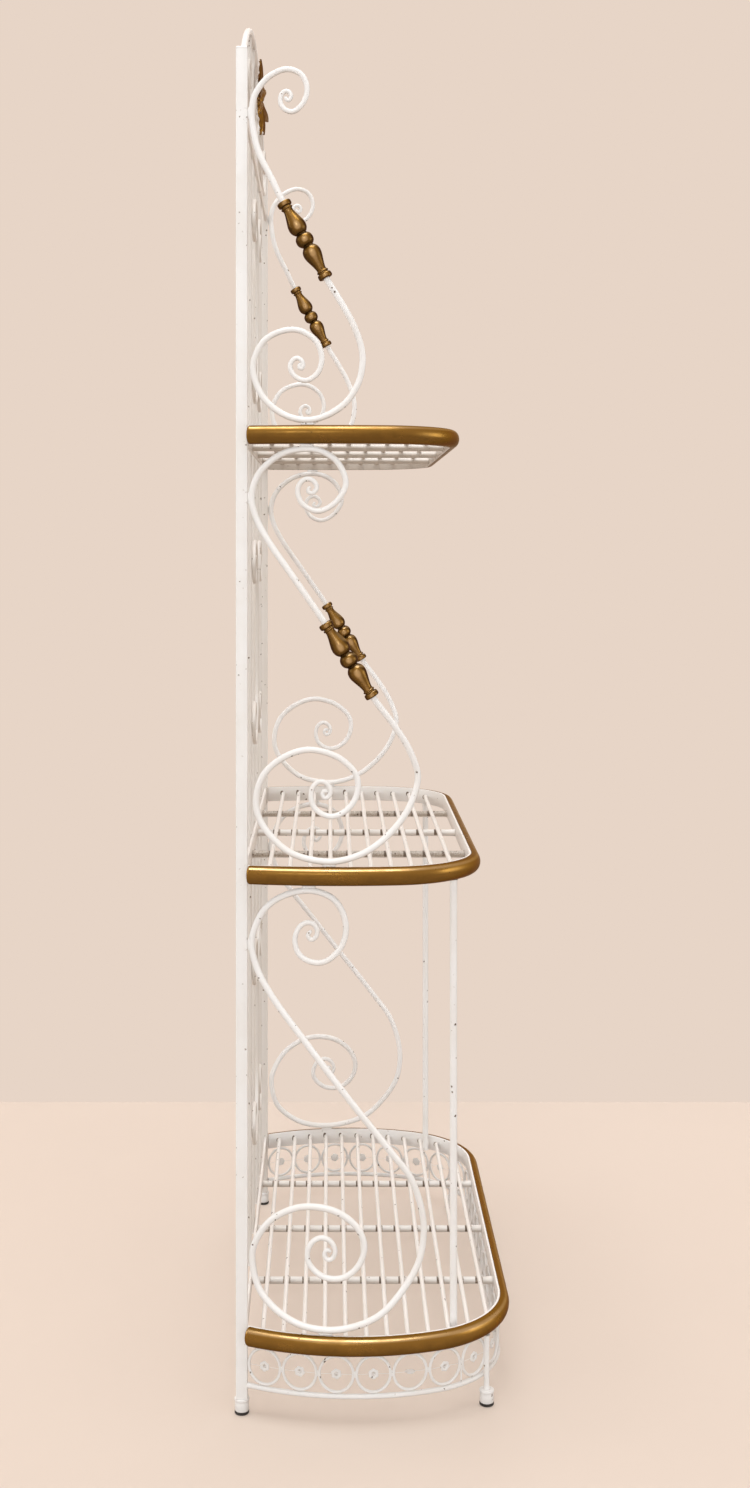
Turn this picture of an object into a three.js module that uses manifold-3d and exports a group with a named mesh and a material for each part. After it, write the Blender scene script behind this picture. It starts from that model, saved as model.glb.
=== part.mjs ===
// A bakers rack of painted steel with brass rims, balusters and leaves.
// Millimetres, Z up. The origin is on the floor, under the middle of the rack. The shelves run
// along X and the front faces -Y. "Forward" is a distance ahead of the front faces of the two
// back posts, and "outward" is a distance beyond their outer faces.

import * as THREE from "three";
import { mergeVertices } from "three/addons/utils/BufferGeometryUtils.js";
import Module from "manifold-3d";

const wasm = await Module();
wasm.setup();

// Fits
const gap = 0.3; // between pieces that are welded to each other or stand on each other
const sink = 0.5; // how deep joined stock runs into its neighbour inside one piece
const overrun = 12; // how far a cut or a trimmed end runs past its mark

// Facets of round stock
const rodFlats = 6;
const footFlats = 12;
const archFlats = 22;
const panelRodFlats = 5;
const wireFlats = 4;
const rosetteFlats = 6;
const bossFlats = 8;
const panelTurn = 30; // degrees of a panel scroll's bend in one flat

// Back posts, square tube closed by a cap
const postSpan = 820;
const postSize = 17;
const postWall = 1.5;
const postTop = 1980;
const capThickness = 3;
const capPlugLength = 12;
const capChamfer = 1;

// Feet: a black glide under a turned cup
const glideRadius = 10.6;
const glideHeight = 4.5;
const glideChamfer = 1.2;
const cupRadius = 10.2;
const cupCollarRadius = 11;
const cupCollarHeight = 3;
const cupHeight = 18.5;

// Front legs and front uprights, round rod
const legRadius = 4;
const legAngle = 52; // degrees round the front corner, from the end towards the front
const uprightRadius = 5.5;
const uprightSetback = 20; // least room from the front of the middle shelf to an upright

// Shelves, from the floor up
const rimHeight = 27;
const rimRelief = 13.2;
const rimFlats = 6; // round the rim's half-round section
const bandThickness = 3.5;
const apexShare = 0.41; // where an end bulges most, as a share of the shelf's depth
const shelves = {
  bottom: { depth: 377, underside: 102.5, bulge: 34, cornerRadius: 150 },
  middle: { depth: 333, underside: 768.5, bulge: 14, cornerRadius: 130 },
  top: { depth: 300.5, underside: 1404, bulge: 12, cornerRadius: 120 },
};
const endArcTurn = 5; // degrees of an end arc in one flat
const cornerArcTurn = 9; // degrees of a corner arc in one flat

// Shelf grilles: slats along the shelf on crossbars from back to front
const slatRadius = 3.5;
const slatPitch = 30;
const slatHeight = 14; // of the slats' centres above the shelf's underside
const crossbarRadius = 5.4;
const crossbarShares = [-0.25, 0, 0.25]; // of the distance across the posts

// Back rails, bars and panel scrolls
const railSetback = 2; // of a rail's front face behind the posts' front faces
const railThickness = 4;
const barRadius = 4;
const barFields = 6; // fields that the bars divide the back into
const panelRodRadius = 3.2;
const panelScrollHeight = 330;
const panelScrollTurns = 1.3; // turns of each curl
const panelScrollEase = 2.6; // how late a curl tightens
const backSpread = 3.6; // of a panel scroll's back beside the middle of the rack

// Crest over the back
const crestRailDrop = 87; // of the rail's upper edge below the posts' tops
const crestRailHeight = 14;
const archDrop = 18; // of the arch's ends below the posts' tops
const archRise = 133; // of the arch's middle over its ends
const archRadius = 4.8;
const crestScrollStart = 66; // from the middle of the rack
const crestScrollSetback = 58; // from the inner face of the post
const crestScrollHeight = 92;

// Brass leaf cluster on the crest
const leafLength = 140; // of the longest leaf
const leafWidth = 27;
const leafThickness = 2.4;
const leafLean = 5; // degrees that a leaf leans forward
const leafDrop = 88; // of the cluster's middle below the arch's
const leafBossRadius = 9;
const leafPlaces = [
  { turn: 0, share: 0.44 },
  { turn: 40, share: 0.5 },
  { turn: -40, share: 0.5 },
  { turn: 67, share: 0.76 },
  { turn: -67, share: 0.76 },
  { turn: 91, share: 1 },
  { turn: -91, share: 1 },
  { turn: 116, share: 0.64 },
  { turn: -116, share: 0.64 },
  { turn: 180, share: 0.42 },
];
const leafOutlineShares = [
  [0, 0.06],
  [0.3, 0.2],
  [0.38, 0.34],
  [0.5, 0.46],
  [0.4, 0.62],
  [0.22, 0.84],
  [0, 1],
]; // half width and length

// End scrolls
const scrollRadius = 4.75;
const scrollTurn = 28; // degrees of a bend in one flat
const tabThickness = 1; // of the weld tab between a scroll and its post
const padThickness = 2.2; // of the pads between a scroll and the shelves
const padLength = 20;
const padWidth = 7;
const lowerReach = 248.5; // forward extent of each scroll's centre line
const middleReach = 240.5;
const crownReach = 162;
const crownDrop = 36; // of a crown scroll's highest centre point below the posts' tops
const lowerScrollShares = [
  [0.356, 0.891], [0.38, 0.888], [0.39, 0.904], [0.34, 0.921], [0.265, 0.906], [0.253, 0.883],
  [0.282, 0.851], [0.361, 0.835], [0.437, 0.839], [0.518, 0.869], [0.549, 0.908], [0.529, 0.951],
  [0.469, 0.983], [0.34, 1], [0.182, 0.986], [0.08, 0.956], [0.022, 0.914], [0, 0.871],
  [0.033, 0.815], [0.112, 0.758], [0.323, 0.647], [0.569, 0.521], [0.798, 0.406], [0.925, 0.337],
  [0.989, 0.262], [1, 0.211], [0.973, 0.149], [0.884, 0.089], [0.734, 0.029], [0.523, 0],
  [0.329, 0.001], [0.179, 0.024], [0.051, 0.072], [0.007, 0.129], [0.013, 0.173], [0.102, 0.233],
  [0.24, 0.268], [0.363, 0.276], [0.5, 0.265], [0.612, 0.231], [0.654, 0.19], [0.626, 0.148],
  [0.538, 0.118], [0.426, 0.117], [0.34, 0.144], [0.334, 0.174], [0.389, 0.201], [0.464, 0.198],
  [0.483, 0.171], [0.443, 0.163],
];
const middleUpperShares = [
  [0.367, 0.9], [0.389, 0.909], [0.338, 0.925], [0.281, 0.9], [0.304, 0.868], [0.395, 0.849],
  [0.499, 0.868], [0.566, 0.914], [0.521, 0.965], [0.427, 0.993], [0.326, 1], [0.188, 0.989],
  [0.074, 0.956], [0.018, 0.92], [0, 0.877], [0.029, 0.83], [0.098, 0.778], [0.257, 0.685],
  [0.45, 0.571],
];
const middleLowerShares = [
  [0.72, 0.404], [0.863, 0.325], [0.947, 0.27], [1, 0.211], [0.994, 0.177], [0.935, 0.119],
  [0.821, 0.062], [0.677, 0.02], [0.516, 0], [0.391, 0.001], [0.236, 0.019], [0.122, 0.056],
  [0.044, 0.102], [0.026, 0.148], [0.072, 0.207], [0.186, 0.249], [0.32, 0.269], [0.433, 0.265],
  [0.546, 0.245], [0.628, 0.209], [0.638, 0.171], [0.597, 0.134], [0.516, 0.111], [0.451, 0.11],
  [0.379, 0.129], [0.356, 0.158], [0.379, 0.184], [0.421, 0.192], [0.475, 0.18], [0.479, 0.16],
  [0.449, 0.159],
];
const crownUpperShares = [
  [0.331, 0.916], [0.352, 0.924], [0.316, 0.937], [0.262, 0.918], [0.291, 0.894], [0.364, 0.88],
  [0.456, 0.898], [0.5, 0.941], [0.451, 0.98], [0.298, 1], [0.161, 0.982], [0.076, 0.955],
  [0.022, 0.925], [0, 0.881], [0.036, 0.795], [0.094, 0.744], [0.179, 0.691], [0.298, 0.615],
];
const crownLowerShares = [
  [0.661, 0.411], [0.802, 0.337], [0.917, 0.271], [0.986, 0.21], [1, 0.167], [0.962, 0.106],
  [0.846, 0.049], [0.669, 0.012], [0.491, 0], [0.286, 0.017], [0.108, 0.065], [0.018, 0.131],
  [0.027, 0.179], [0.123, 0.23], [0.286, 0.255], [0.433, 0.255], [0.58, 0.224], [0.633, 0.177],
  [0.595, 0.134], [0.491, 0.113], [0.389, 0.126], [0.352, 0.154], [0.389, 0.173], [0.442, 0.173],
  [0.456, 0.159],
];

// Brass balusters, bored for the rod that they sit on
const balusterLength = 127;
const balusterRadius = 13.4;
const boreClearance = 0.7; // between the rod and the bore, on the radius
const leadShare = 0.12; // straight rod past each end, as a share of the length
const balusterFlats = 10;
const balusterShares = [
  [0.66, 0], [0.7, 0.05], [0.56, 0.09], [0.62, 0.17], [0.95, 0.27], [1, 0.33], [0.76, 0.4],
  [0.6, 0.435], [0.84, 0.47], [0.9, 0.5],
]; // radius and length, from one end to the ball in the middle

// Apron under the bottom shelf: a chain of rings over a rod
const apronRodRadius = 3.7;
const ringHeight = 55.5;
const ringPitch = 53.5;
const ringWireRadius = 1.8;
const ringFlats = 12;
const beadLength = 2.6;
const beadHeight = 6;
const beadWidth = 2.6;
const rosetteRadius = 7.2;
const rosetteThickness = 3;
const tieRadius = 0.8; // of the fine wire that carries a rosette
const endRingShare = 0.32; // of all the rings that hang under one end of the shelf
const strutShare = 0.67; // of an end's rings, between the post and the strut
const strutRadius = 1.3;

// Derived places
const rearReach = postSize / 2 + cupCollarRadius; // of the rear cups, behind the posts' fronts
const postFront = (shelves.bottom.depth + gap + rimRelief - rearReach) / 2;
const footHeight = glideHeight + cupHeight + gap;
const apronInset = apronRodRadius;
const ringCentre = shelves.bottom.underside - gap - ringHeight / 2;
const apronRodHeight = ringCentre - ringHeight / 2 - gap - apronRodRadius;
const railCentre = -railSetback - railThickness / 2;
const barForward = -railSetback - railThickness - gap - barRadius;
const panelForward = barForward + barRadius + gap + panelRodRadius;
const innerSpan = postSpan - postSize * 2;
const archForward = -postSize / 2;
const archCrown = postTop - archDrop + archRise;
const crestRailTop = postTop - crestRailDrop;
const radians = THREE.MathUtils.degToRad;
const sides = { left: -1, right: 1 };

const whitePaint = { color: 0xece6df, roughness: 0.5, metalness: 0 };
const agedBrass = { color: 0x8d6226, roughness: 0.36, metalness: 0.9 };
const blackRubber = { color: 0x1b1a19, roughness: 0.8, metalness: 0 };

const rack = new THREE.Group();

const addPiece = (name, geometry, look) => {
  const mesh = new THREE.Mesh(geometry, new THREE.MeshStandardMaterial(look));
  mesh.name = name;
  rack.add(mesh);
  return mesh;
};

// A point of the rack, from its outward, forward and height places on one side.
const place = (side, outward, forward, height) =>
  new THREE.Vector3(side * (postSpan / 2 + outward), postFront - forward, height);

// Solids and their unions

const toSolid = (geometry) => {
  const bare = geometry.clone();
  bare.deleteAttribute("normal");
  bare.deleteAttribute("uv");
  const merged = mergeVertices(bare);
  const mesh = new wasm.Mesh({
    numProp: 3,
    vertProperties: new Float32Array(merged.attributes.position.array),
    triVerts: new Uint32Array(merged.index.array),
  });
  return new wasm.Manifold(mesh);
};

const toGeometry = (solid) => {
  const mesh = solid.getMesh();
  const geometry = new THREE.BufferGeometry();
  geometry.setAttribute("position", new THREE.BufferAttribute(mesh.vertProperties, 3));
  geometry.setIndex(new THREE.BufferAttribute(mesh.triVerts, 1));
  geometry.computeVertexNormals();
  return geometry;
};

const joined = (geometries) =>
  toGeometry(geometries.map(toSolid).reduce((whole, piece) => whole.add(piece)));

const cut = (geometry, tool) => toGeometry(toSolid(geometry).subtract(toSolid(tool)));

// Sweeps

// A curve through stations, which a sweep meets one by one.
class StationCurve extends THREE.Curve {
  constructor(stations) {
    super();
    this.stations = stations;
  }

  getPoint(share) {
    const last = this.stations.length - 1;
    const place = Math.min(Math.max(share, 0), 1) * last;
    const index = Math.min(Math.floor(place), last - 1);
    return this.stations[index].clone().lerp(this.stations[index + 1], place - index);
  }

  getPointAt(share) {
    return this.getPoint(share);
  }

  getTangentAt(share) {
    const last = this.stations.length - 1;
    const index = Math.round(share * last);
    const before = this.stations[Math.max(index - 1, 0)];
    const after = this.stations[Math.min(index + 1, last)];
    return after.clone().sub(before).normalize();
  }
}

const sweep = (stations, section) =>
  new THREE.ExtrudeGeometry(section, {
    steps: stations.length - 1,
    extrudePath: new StationCurve(stations),
    bevelEnabled: false,
  });

const roundSection = (radius, flats) => {
  const points = [];
  for (let index = 0; index < flats; index += 1) {
    const angle = ((index + 1 / 2) / flats) * Math.PI * 2;
    points.push(new THREE.Vector2(Math.cos(angle) * radius, Math.sin(angle) * radius));
  }
  return new THREE.Shape(points);
};

const rod = (start, end, radius, flats) => sweep([start, end], roundSection(radius, flats));

const flatShare = Math.cos(Math.PI / rodFlats); // of the radius, out to the middle of a flat

// Thins a fine list of points to one for each turn of the given number of degrees.
const thinned = (points, turn) => {
  const kept = [points[0]];
  let turned = 0;
  for (let index = 1; index < points.length - 1; index += 1) {
    const before = points[index].clone().sub(points[index - 1]);
    const after = points[index + 1].clone().sub(points[index]);
    turned += THREE.MathUtils.radToDeg(before.angleTo(after));
    if (turned >= turn) {
      kept.push(points[index]);
      turned = 0;
    }
  }
  kept.push(points[points.length - 1]);
  return kept;
};

const box = (width, depth, height, centre) => {
  const geometry = new THREE.BoxGeometry(width, depth, height);
  geometry.translate(centre.x, centre.y, centre.z);
  return geometry;
};

// The plan of a shelf: each end is a flat arc from the post to the front corner's arc.

const planOf = (shelf) => {
  const apex = shelf.depth * apexShare;
  const endRadius = (apex ** 2 + shelf.bulge ** 2) / (2 * shelf.bulge);
  const cornerForward = shelf.depth - shelf.cornerRadius;
  const spacing = endRadius - shelf.cornerRadius;
  const rise = cornerForward - apex;
  return {
    apex,
    endRadius,
    endOutward: shelf.bulge - endRadius,
    cornerForward,
    cornerOutward: shelf.bulge - endRadius + Math.sqrt(spacing ** 2 - rise ** 2),
    joinAngle: Math.asin(rise / spacing),
  };
};

const outwardAt = (shelf, forward, inset) => {
  const plan = planOf(shelf);
  const endRadius = plan.endRadius - inset;
  if (forward <= plan.apex + endRadius * Math.sin(plan.joinAngle)) {
    return plan.endOutward + Math.sqrt(endRadius ** 2 - (forward - plan.apex) ** 2);
  }
  const cornerRadius = shelf.cornerRadius - inset;
  return plan.cornerOutward + Math.sqrt(cornerRadius ** 2 - (forward - plan.cornerForward) ** 2);
};

const cornerPlace = (shelf, angle, inset) => {
  const plan = planOf(shelf);
  const radius = shelf.cornerRadius - inset;
  return {
    outward: plan.cornerOutward + radius * Math.cos(angle),
    forward: plan.cornerForward + radius * Math.sin(angle),
  };
};

// The way round a shelf from the left post to the right post, as points at one height.
const planPath = (shelf, inset, height) => {
  const plan = planOf(shelf);
  const endRadius = plan.endRadius - inset;
  const start = Math.asin((gap - plan.apex) / endRadius);
  const places = [];
  const endFlats = Math.ceil((plan.joinAngle - start) / radians(endArcTurn));
  for (let index = 0; index < endFlats; index += 1) {
    const angle = start + ((plan.joinAngle - start) * index) / endFlats;
    places.push({
      outward: plan.endOutward + endRadius * Math.cos(angle),
      forward: plan.apex + endRadius * Math.sin(angle),
    });
  }
  const quarter = Math.PI / 2;
  const cornerFlats = Math.ceil((quarter - plan.joinAngle) / radians(cornerArcTurn));
  for (let index = 0; index <= cornerFlats; index += 1) {
    const angle = plan.joinAngle + ((quarter - plan.joinAngle) * index) / cornerFlats;
    places.push(cornerPlace(shelf, angle, inset));
  }
  const along = (side) => places.map((spot) => place(side, spot.outward, spot.forward, height));
  return [...along(sides.left), ...along(sides.right).reverse()];
};

// Posts, caps and feet

const makePost = (side) => {
  const centre = place(side, -postSize / 2, -postSize / 2, 0);
  const top = postTop - capThickness - gap;
  centre.z = (footHeight + top) / 2;
  const tube = box(postSize, postSize, top - footHeight, centre);
  const hollow = postSize - postWall * 2;
  return cut(tube, box(hollow, hollow, postTop, centre));
};

const makeCap = (side) => {
  const half = postSize / 2;
  const plug = postSize / 2 - postWall - gap;
  const centre = place(side, -half, -half, 0);
  const outline = [
    [plug, postTop - capThickness - capPlugLength],
    [plug, postTop - capThickness],
    [half, postTop - capThickness],
    [half, postTop - capChamfer],
    [half - capChamfer, postTop],
  ];
  const corner = Math.SQRT2;
  const profile = outline.map(([reach, height]) => new THREE.Vector2(reach * corner, height));
  profile.unshift(new THREE.Vector2(0, outline[0][1]));
  profile.push(new THREE.Vector2(0, postTop));
  const geometry = new THREE.LatheGeometry(profile, 4);
  geometry.rotateX(Math.PI / 2);
  geometry.rotateZ(Math.PI / 4);
  geometry.translate(centre.x, centre.y, 0);
  return geometry;
};

const turned = (outline, flats) => {
  const profile = outline.map(([radius, height]) => new THREE.Vector2(radius, height));
  const geometry = new THREE.LatheGeometry(profile, flats);
  geometry.rotateX(Math.PI / 2);
  return geometry;
};

const makeGlide = (centre) => {
  const geometry = turned(
    [
      [0, 0],
      [glideRadius - glideChamfer, 0],
      [glideRadius, glideChamfer],
      [glideRadius, glideHeight],
      [0, glideHeight],
    ],
    footFlats,
  );
  return geometry.translate(centre.x, centre.y, 0);
};

const makeCup = (centre) => {
  const base = glideHeight + gap;
  const top = glideHeight + cupHeight;
  const collar = top - cupCollarHeight;
  const step = cupCollarRadius - cupRadius;
  const geometry = turned(
    [
      [0, base],
      [cupRadius, base],
      [cupRadius, collar - step],
      [cupCollarRadius, collar],
      [cupCollarRadius, top - step],
      [cupRadius, top],
      [0, top],
    ],
    footFlats,
  );
  return geometry.translate(centre.x, centre.y, 0);
};

// Shelves

const makeBand = (shelf) => {
  const outer = planPath(shelf, 0, 0);
  const inner = planPath(shelf, bandThickness, 0).reverse();
  const outline = [...outer, ...inner].map((point) => new THREE.Vector2(point.x, point.y));
  const geometry = new THREE.ExtrudeGeometry(new THREE.Shape(outline), {
    depth: rimHeight,
    bevelEnabled: false,
  });
  return geometry.translate(0, 0, shelf.underside);
};

const makeRim = (shelf) => {
  const section = [];
  for (let index = 0; index <= rimFlats; index += 1) {
    const angle = (index / rimFlats) * Math.PI;
    const rise = (Math.cos(angle) * rimHeight) / 2;
    section.push(new THREE.Vector2(rise, -Math.sin(angle) * rimRelief));
  }
  const path = planPath(shelf, -gap, shelf.underside + rimHeight / 2);
  return sweep(path, new THREE.Shape(section));
};

const slatForwards = (shelf) => {
  const room = shelf.depth - bandThickness;
  const fields = Math.floor(room / slatPitch);
  const first = (room - (fields - 1) * slatPitch) / 2;
  return Array.from({ length: fields }, (_, index) => first + index * slatPitch);
};

// How far the flats of a shelf's outline lie inside its true arcs.
const facetSag = (shelf) =>
  Math.max(
    planOf(shelf).endRadius * (1 - Math.cos(radians(endArcTurn) / 2)),
    shelf.cornerRadius * (1 - Math.cos(radians(cornerArcTurn) / 2)),
  );

const makeGrille = (shelf) => {
  const slatZ = shelf.underside + slatHeight;
  const inset = bandThickness + facetSag(shelf) + gap;
  const slats = slatForwards(shelf).map((forward) => {
    const reach = [-slatRadius, slatRadius].map((offset) =>
      outwardAt(shelf, forward + offset, inset),
    );
    const outward = Math.min(...reach);
    const start = place(sides.left, outward, forward, slatZ);
    const end = place(sides.right, outward, forward, slatZ);
    return rod(start, end, slatRadius, rodFlats);
  });
  const barZ = slatZ - (slatRadius + crossbarRadius) * flatShare + sink;
  const bars = crossbarShares.map((share) => {
    const x = share * postSpan;
    const back = new THREE.Vector3(x, postFront + railSetback - gap, barZ);
    const front = new THREE.Vector3(x, postFront - shelf.depth + bandThickness + gap, barZ);
    return rod(back, front, crossbarRadius, rodFlats);
  });
  return joined([...bars, ...slats]);
};

const makeBackRail = (top, height) => {
  const centre = new THREE.Vector3(0, postFront - railCentre, top - height / 2);
  return box(innerSpan - gap * 2, railThickness, height, centre);
};

// Front legs and uprights

const legPlace = cornerPlace(shelves.bottom, radians(legAngle), -gap - legRadius);

const makeLeg = (side) => {
  const foot = place(side, legPlace.outward, legPlace.forward, footHeight);
  const head = foot.clone().setZ(shelves.bottom.underside - gap);
  return rod(foot, head, legRadius, rodFlats);
};

const makeUpright = (side) => {
  const besideSlat = slatRadius + gap + uprightRadius * flatShare;
  const forward = slatForwards(shelves.bottom)
    .map((slat) => slat + besideSlat)
    .filter((spot) => spot <= shelves.middle.depth - uprightSetback)
    .pop();
  const outward = outwardAt(shelves.middle, forward, bandThickness / 2);
  const low = shelves.bottom.underside + slatHeight - slatRadius;
  const foot = place(side, outward, forward, low);
  const head = foot.clone().setZ(shelves.middle.underside - gap);
  return rod(foot, head, uprightRadius, rodFlats);
};

// End scrolls

const shelfTop = (shelf) => shelf.underside + rimHeight;
const seat = gap + padThickness + scrollRadius;
const finePerPoint = 12;

const levels = {
  lower: {
    shares: lowerScrollShares,
    reach: lowerReach,
    under: shelves.bottom,
    over: shelves.middle,
  },
  middle: {
    shares: [...middleUpperShares, ...middleLowerShares],
    straight: middleUpperShares.length,
    reach: middleReach,
    under: shelves.middle,
    over: shelves.top,
  },
  crown: {
    shares: [...crownUpperShares, ...crownLowerShares],
    straight: crownUpperShares.length,
    reach: crownReach,
    under: shelves.top,
  },
};

const curveThrough = (points) => {
  const curve = new THREE.CatmullRomCurve3(points, false, "centripetal");
  return curve.getPoints((points.length - 1) * finePerPoint);
};

// The places of a centre line, fitted between the post and its reach and between its shelves.
const fittedPlaces = (level) => {
  const flat = level.shares.map(([forward, height]) => new THREE.Vector3(0, forward, height));
  const extent = new THREE.Box3().setFromPoints(curveThrough(flat));
  const size = extent.getSize(new THREE.Vector3());
  const start = gap + tabThickness + scrollRadius;
  const base = shelfTop(level.under) + seat;
  const ceiling = level.over ? level.over.underside - seat : postTop - crownDrop;
  return flat.map((point) => ({
    forward: start + ((point.y - extent.min.y) / size.y) * level.reach,
    height: base + ((point.z - extent.min.z) / size.z) * (ceiling - base),
  }));
};

// A scroll follows the ends of the shelves under and over it.
const scrollOutward = (level, spot) => {
  const low = outwardAt(level.under, spot.forward, bandThickness / 2);
  if (!level.over) {
    return low;
  }
  const high = outwardAt(level.over, spot.forward, bandThickness / 2);
  const share = (spot.height - level.under.underside) / (level.over.underside - level.under.underside);
  return THREE.MathUtils.lerp(low, high, share);
};

// The centre line, which runs straight from the head to the foot of its baluster.
const centreLine = (side, level) => {
  const points = fittedPlaces(level).map((spot) =>
    place(side, scrollOutward(level, spot), spot.forward, spot.height),
  );
  if (!level.straight) {
    return { stations: thinned(curveThrough(points), scrollTurn) };
  }
  const head = points[level.straight - 1];
  const foot = points[level.straight];
  const lead = foot.clone().sub(head).multiplyScalar(leadShare);
  points.splice(level.straight + 1, 0, foot.clone().add(lead));
  points.splice(level.straight - 1, 0, head.clone().sub(lead));
  const fine = curveThrough(points);
  const toHead = fine.slice(0, level.straight * finePerPoint + 1);
  const fromFoot = fine.slice((level.straight + 1) * finePerPoint);
  const stations = [...thinned(toHead, scrollTurn), ...thinned(fromFoot, scrollTurn)];
  return { stations, head, foot };
};

const farthest = (points, measure) =>
  points.reduce((best, point) => (measure(point) > measure(best) ? point : best));

const makeScroll = (side, level) => {
  const { stations } = centreLine(side, level);
  const tube = sweep(stations, roundSection(scrollRadius, rodFlats));
  const padHeight = padThickness + scrollRadius;
  const tabDepth = tabThickness + scrollRadius;
  const lowest = farthest(stations, (point) => -point.z).clone();
  const rearmost = farthest(stations, (point) => point.y).clone();
  lowest.z -= padHeight / 2;
  rearmost.y += tabDepth / 2;
  const pads = [
    box(padWidth, padLength, padHeight, lowest),
    box(padWidth, tabDepth, padLength, rearmost),
  ];
  if (level.over) {
    const highest = farthest(stations, (point) => point.z).clone();
    highest.z += padHeight / 2;
    pads.push(box(padWidth, padLength, padHeight, highest));
  }
  return joined([tube, ...pads]);
};

const makeBaluster = (side, level) => {
  const { head, foot } = centreLine(side, level);
  const bore = scrollRadius + boreClearance;
  const first = balusterShares.slice(0, -1);
  const rest = first.reverse().map(([radius, length]) => [radius, 1 - length]);
  const profile = [...balusterShares, ...rest].map(
    ([radius, length]) => new THREE.Vector2(radius * balusterRadius, length * balusterLength),
  );
  profile.unshift(new THREE.Vector2(bore, 0));
  profile.push(new THREE.Vector2(bore, balusterLength), new THREE.Vector2(bore, 0));
  const geometry = new THREE.LatheGeometry(profile, balusterFlats);
  geometry.translate(0, -balusterLength / 2, 0);
  const axis = foot.clone().sub(head).normalize();
  const turn = new THREE.Quaternion().setFromUnitVectors(new THREE.Vector3(0, 1, 0), axis);
  const middle = head.clone().lerp(foot, 0.5);
  geometry.applyQuaternion(turn);
  return geometry.translate(middle.x, middle.y, middle.z);
};

// Apron

const postBlocks = () =>
  Object.values(sides).map((side) => {
    const centre = place(side, -postSize / 2, -postSize / 2, postTop / 2);
    return box(postSize + gap * 2, postSize + gap * 2, postTop + overrun, centre);
  });

const clearOfPosts = (geometry) =>
  postBlocks().reduce((shape, block) => cut(shape, block), geometry);

const makeApronRod = () => {
  const path = planPath(shelves.bottom, apronInset, apronRodHeight);
  return clearOfPosts(sweep(path, roundSection(apronRodRadius, rodFlats)));
};

const up = new THREE.Vector3(0, 0, 1);

// Puts a shape that was made in the XY plane upright, with its X along the given direction.
const standing = (geometry, centre, along) => {
  const facing = along.clone().cross(up).normalize();
  const basis = new THREE.Matrix4().makeBasis(along.clone().normalize(), up, facing);
  return geometry.applyMatrix4(basis.setPosition(centre));
};

const makeRing = (centre, along, half) => {
  const wire = half - ringWireRadius;
  const ring = new THREE.TorusGeometry(wire, ringWireRadius, wireFlats, ringFlats);
  ring.scale(1, ringHeight / (half * 2), 1);
  const rosette = new THREE.CylinderGeometry(
    rosetteRadius,
    rosetteRadius,
    rosetteThickness,
    rosetteFlats,
  );
  rosette.rotateX(Math.PI / 2);
  const tie = new THREE.CylinderGeometry(tieRadius, tieRadius, wire * 2, wireFlats);
  tie.rotateZ(Math.PI / 2);
  return [ring, rosette, tie].map((shape) => standing(shape, centre, along));
};

const rail = new THREE.CurvePath();
planPath(shelves.bottom, apronInset, ringCentre).forEach((point, index, path) => {
  if (index > 0) {
    rail.add(new THREE.LineCurve3(path[index - 1], point));
  }
});
const ringCount = Math.round(rail.getLength() / ringPitch);
const pitch = rail.getLength() / ringCount;
const ringsPerEnd = Math.round(ringCount * endRingShare);
const ringsToStrut = Math.round(ringsPerEnd * strutShare);
const strutPlaces = [ringsToStrut, ringCount - ringsToStrut];

const ringSpot = (index) => {
  const share = (index + 1 / 2) / ringCount;
  return { centre: rail.getPoint(share), along: rail.getTangent(share) };
};

const makeRingChain = (first, last) => {
  const half = pitch / 2 - gap / 2;
  const shapes = [];
  for (let index = first; index < last; index += 1) {
    const { centre, along } = ringSpot(index);
    shapes.push(...makeRing(centre, along, half));
    if (index + 1 < last) {
      const next = ringSpot(index + 1);
      const tip = centre.clone().addScaledVector(along, half);
      const nextTip = next.centre.clone().addScaledVector(next.along, -half);
      const middle = tip.lerp(nextTip, 0.5);
      const direction = along.clone().add(next.along);
      const bead = new THREE.BoxGeometry(beadLength, beadHeight, beadWidth);
      shapes.push(standing(bead, middle, direction));
      if (strutPlaces.includes(index + 1)) {
        const foot = middle.clone().setZ(apronRodHeight + apronRodRadius + gap);
        shapes.push(rod(foot, middle, strutRadius, wireFlats));
      }
    }
  }
  return joined(shapes);
};

// Back

const archSweep = innerSpan / 2;
const archCurve = (archSweep ** 2 + archRise ** 2) / (2 * archRise);
const archCentre = archCrown - archCurve;

const makeArch = () => {
  const reach = Math.asin((archSweep + overrun) / archCurve);
  const stations = [];
  for (let index = 0; index <= archFlats; index += 1) {
    const angle = reach * ((2 * index) / archFlats - 1);
    const height = archCentre + archCurve * Math.cos(angle);
    stations.push(new THREE.Vector3(archCurve * Math.sin(angle), postFront - archForward, height));
  }
  return clearOfPosts(sweep(stations, roundSection(archRadius, rodFlats)));
};

const makeBar = (x) => {
  const reach = Math.abs(x) + barRadius;
  const under = archCentre + Math.sqrt((archCurve - archRadius) ** 2 - reach ** 2);
  const foot = new THREE.Vector3(x, postFront - barForward, shelves.bottom.underside);
  const head = foot.clone().setZ(under - gap);
  return rod(foot, head, barRadius, rodFlats);
};

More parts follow.
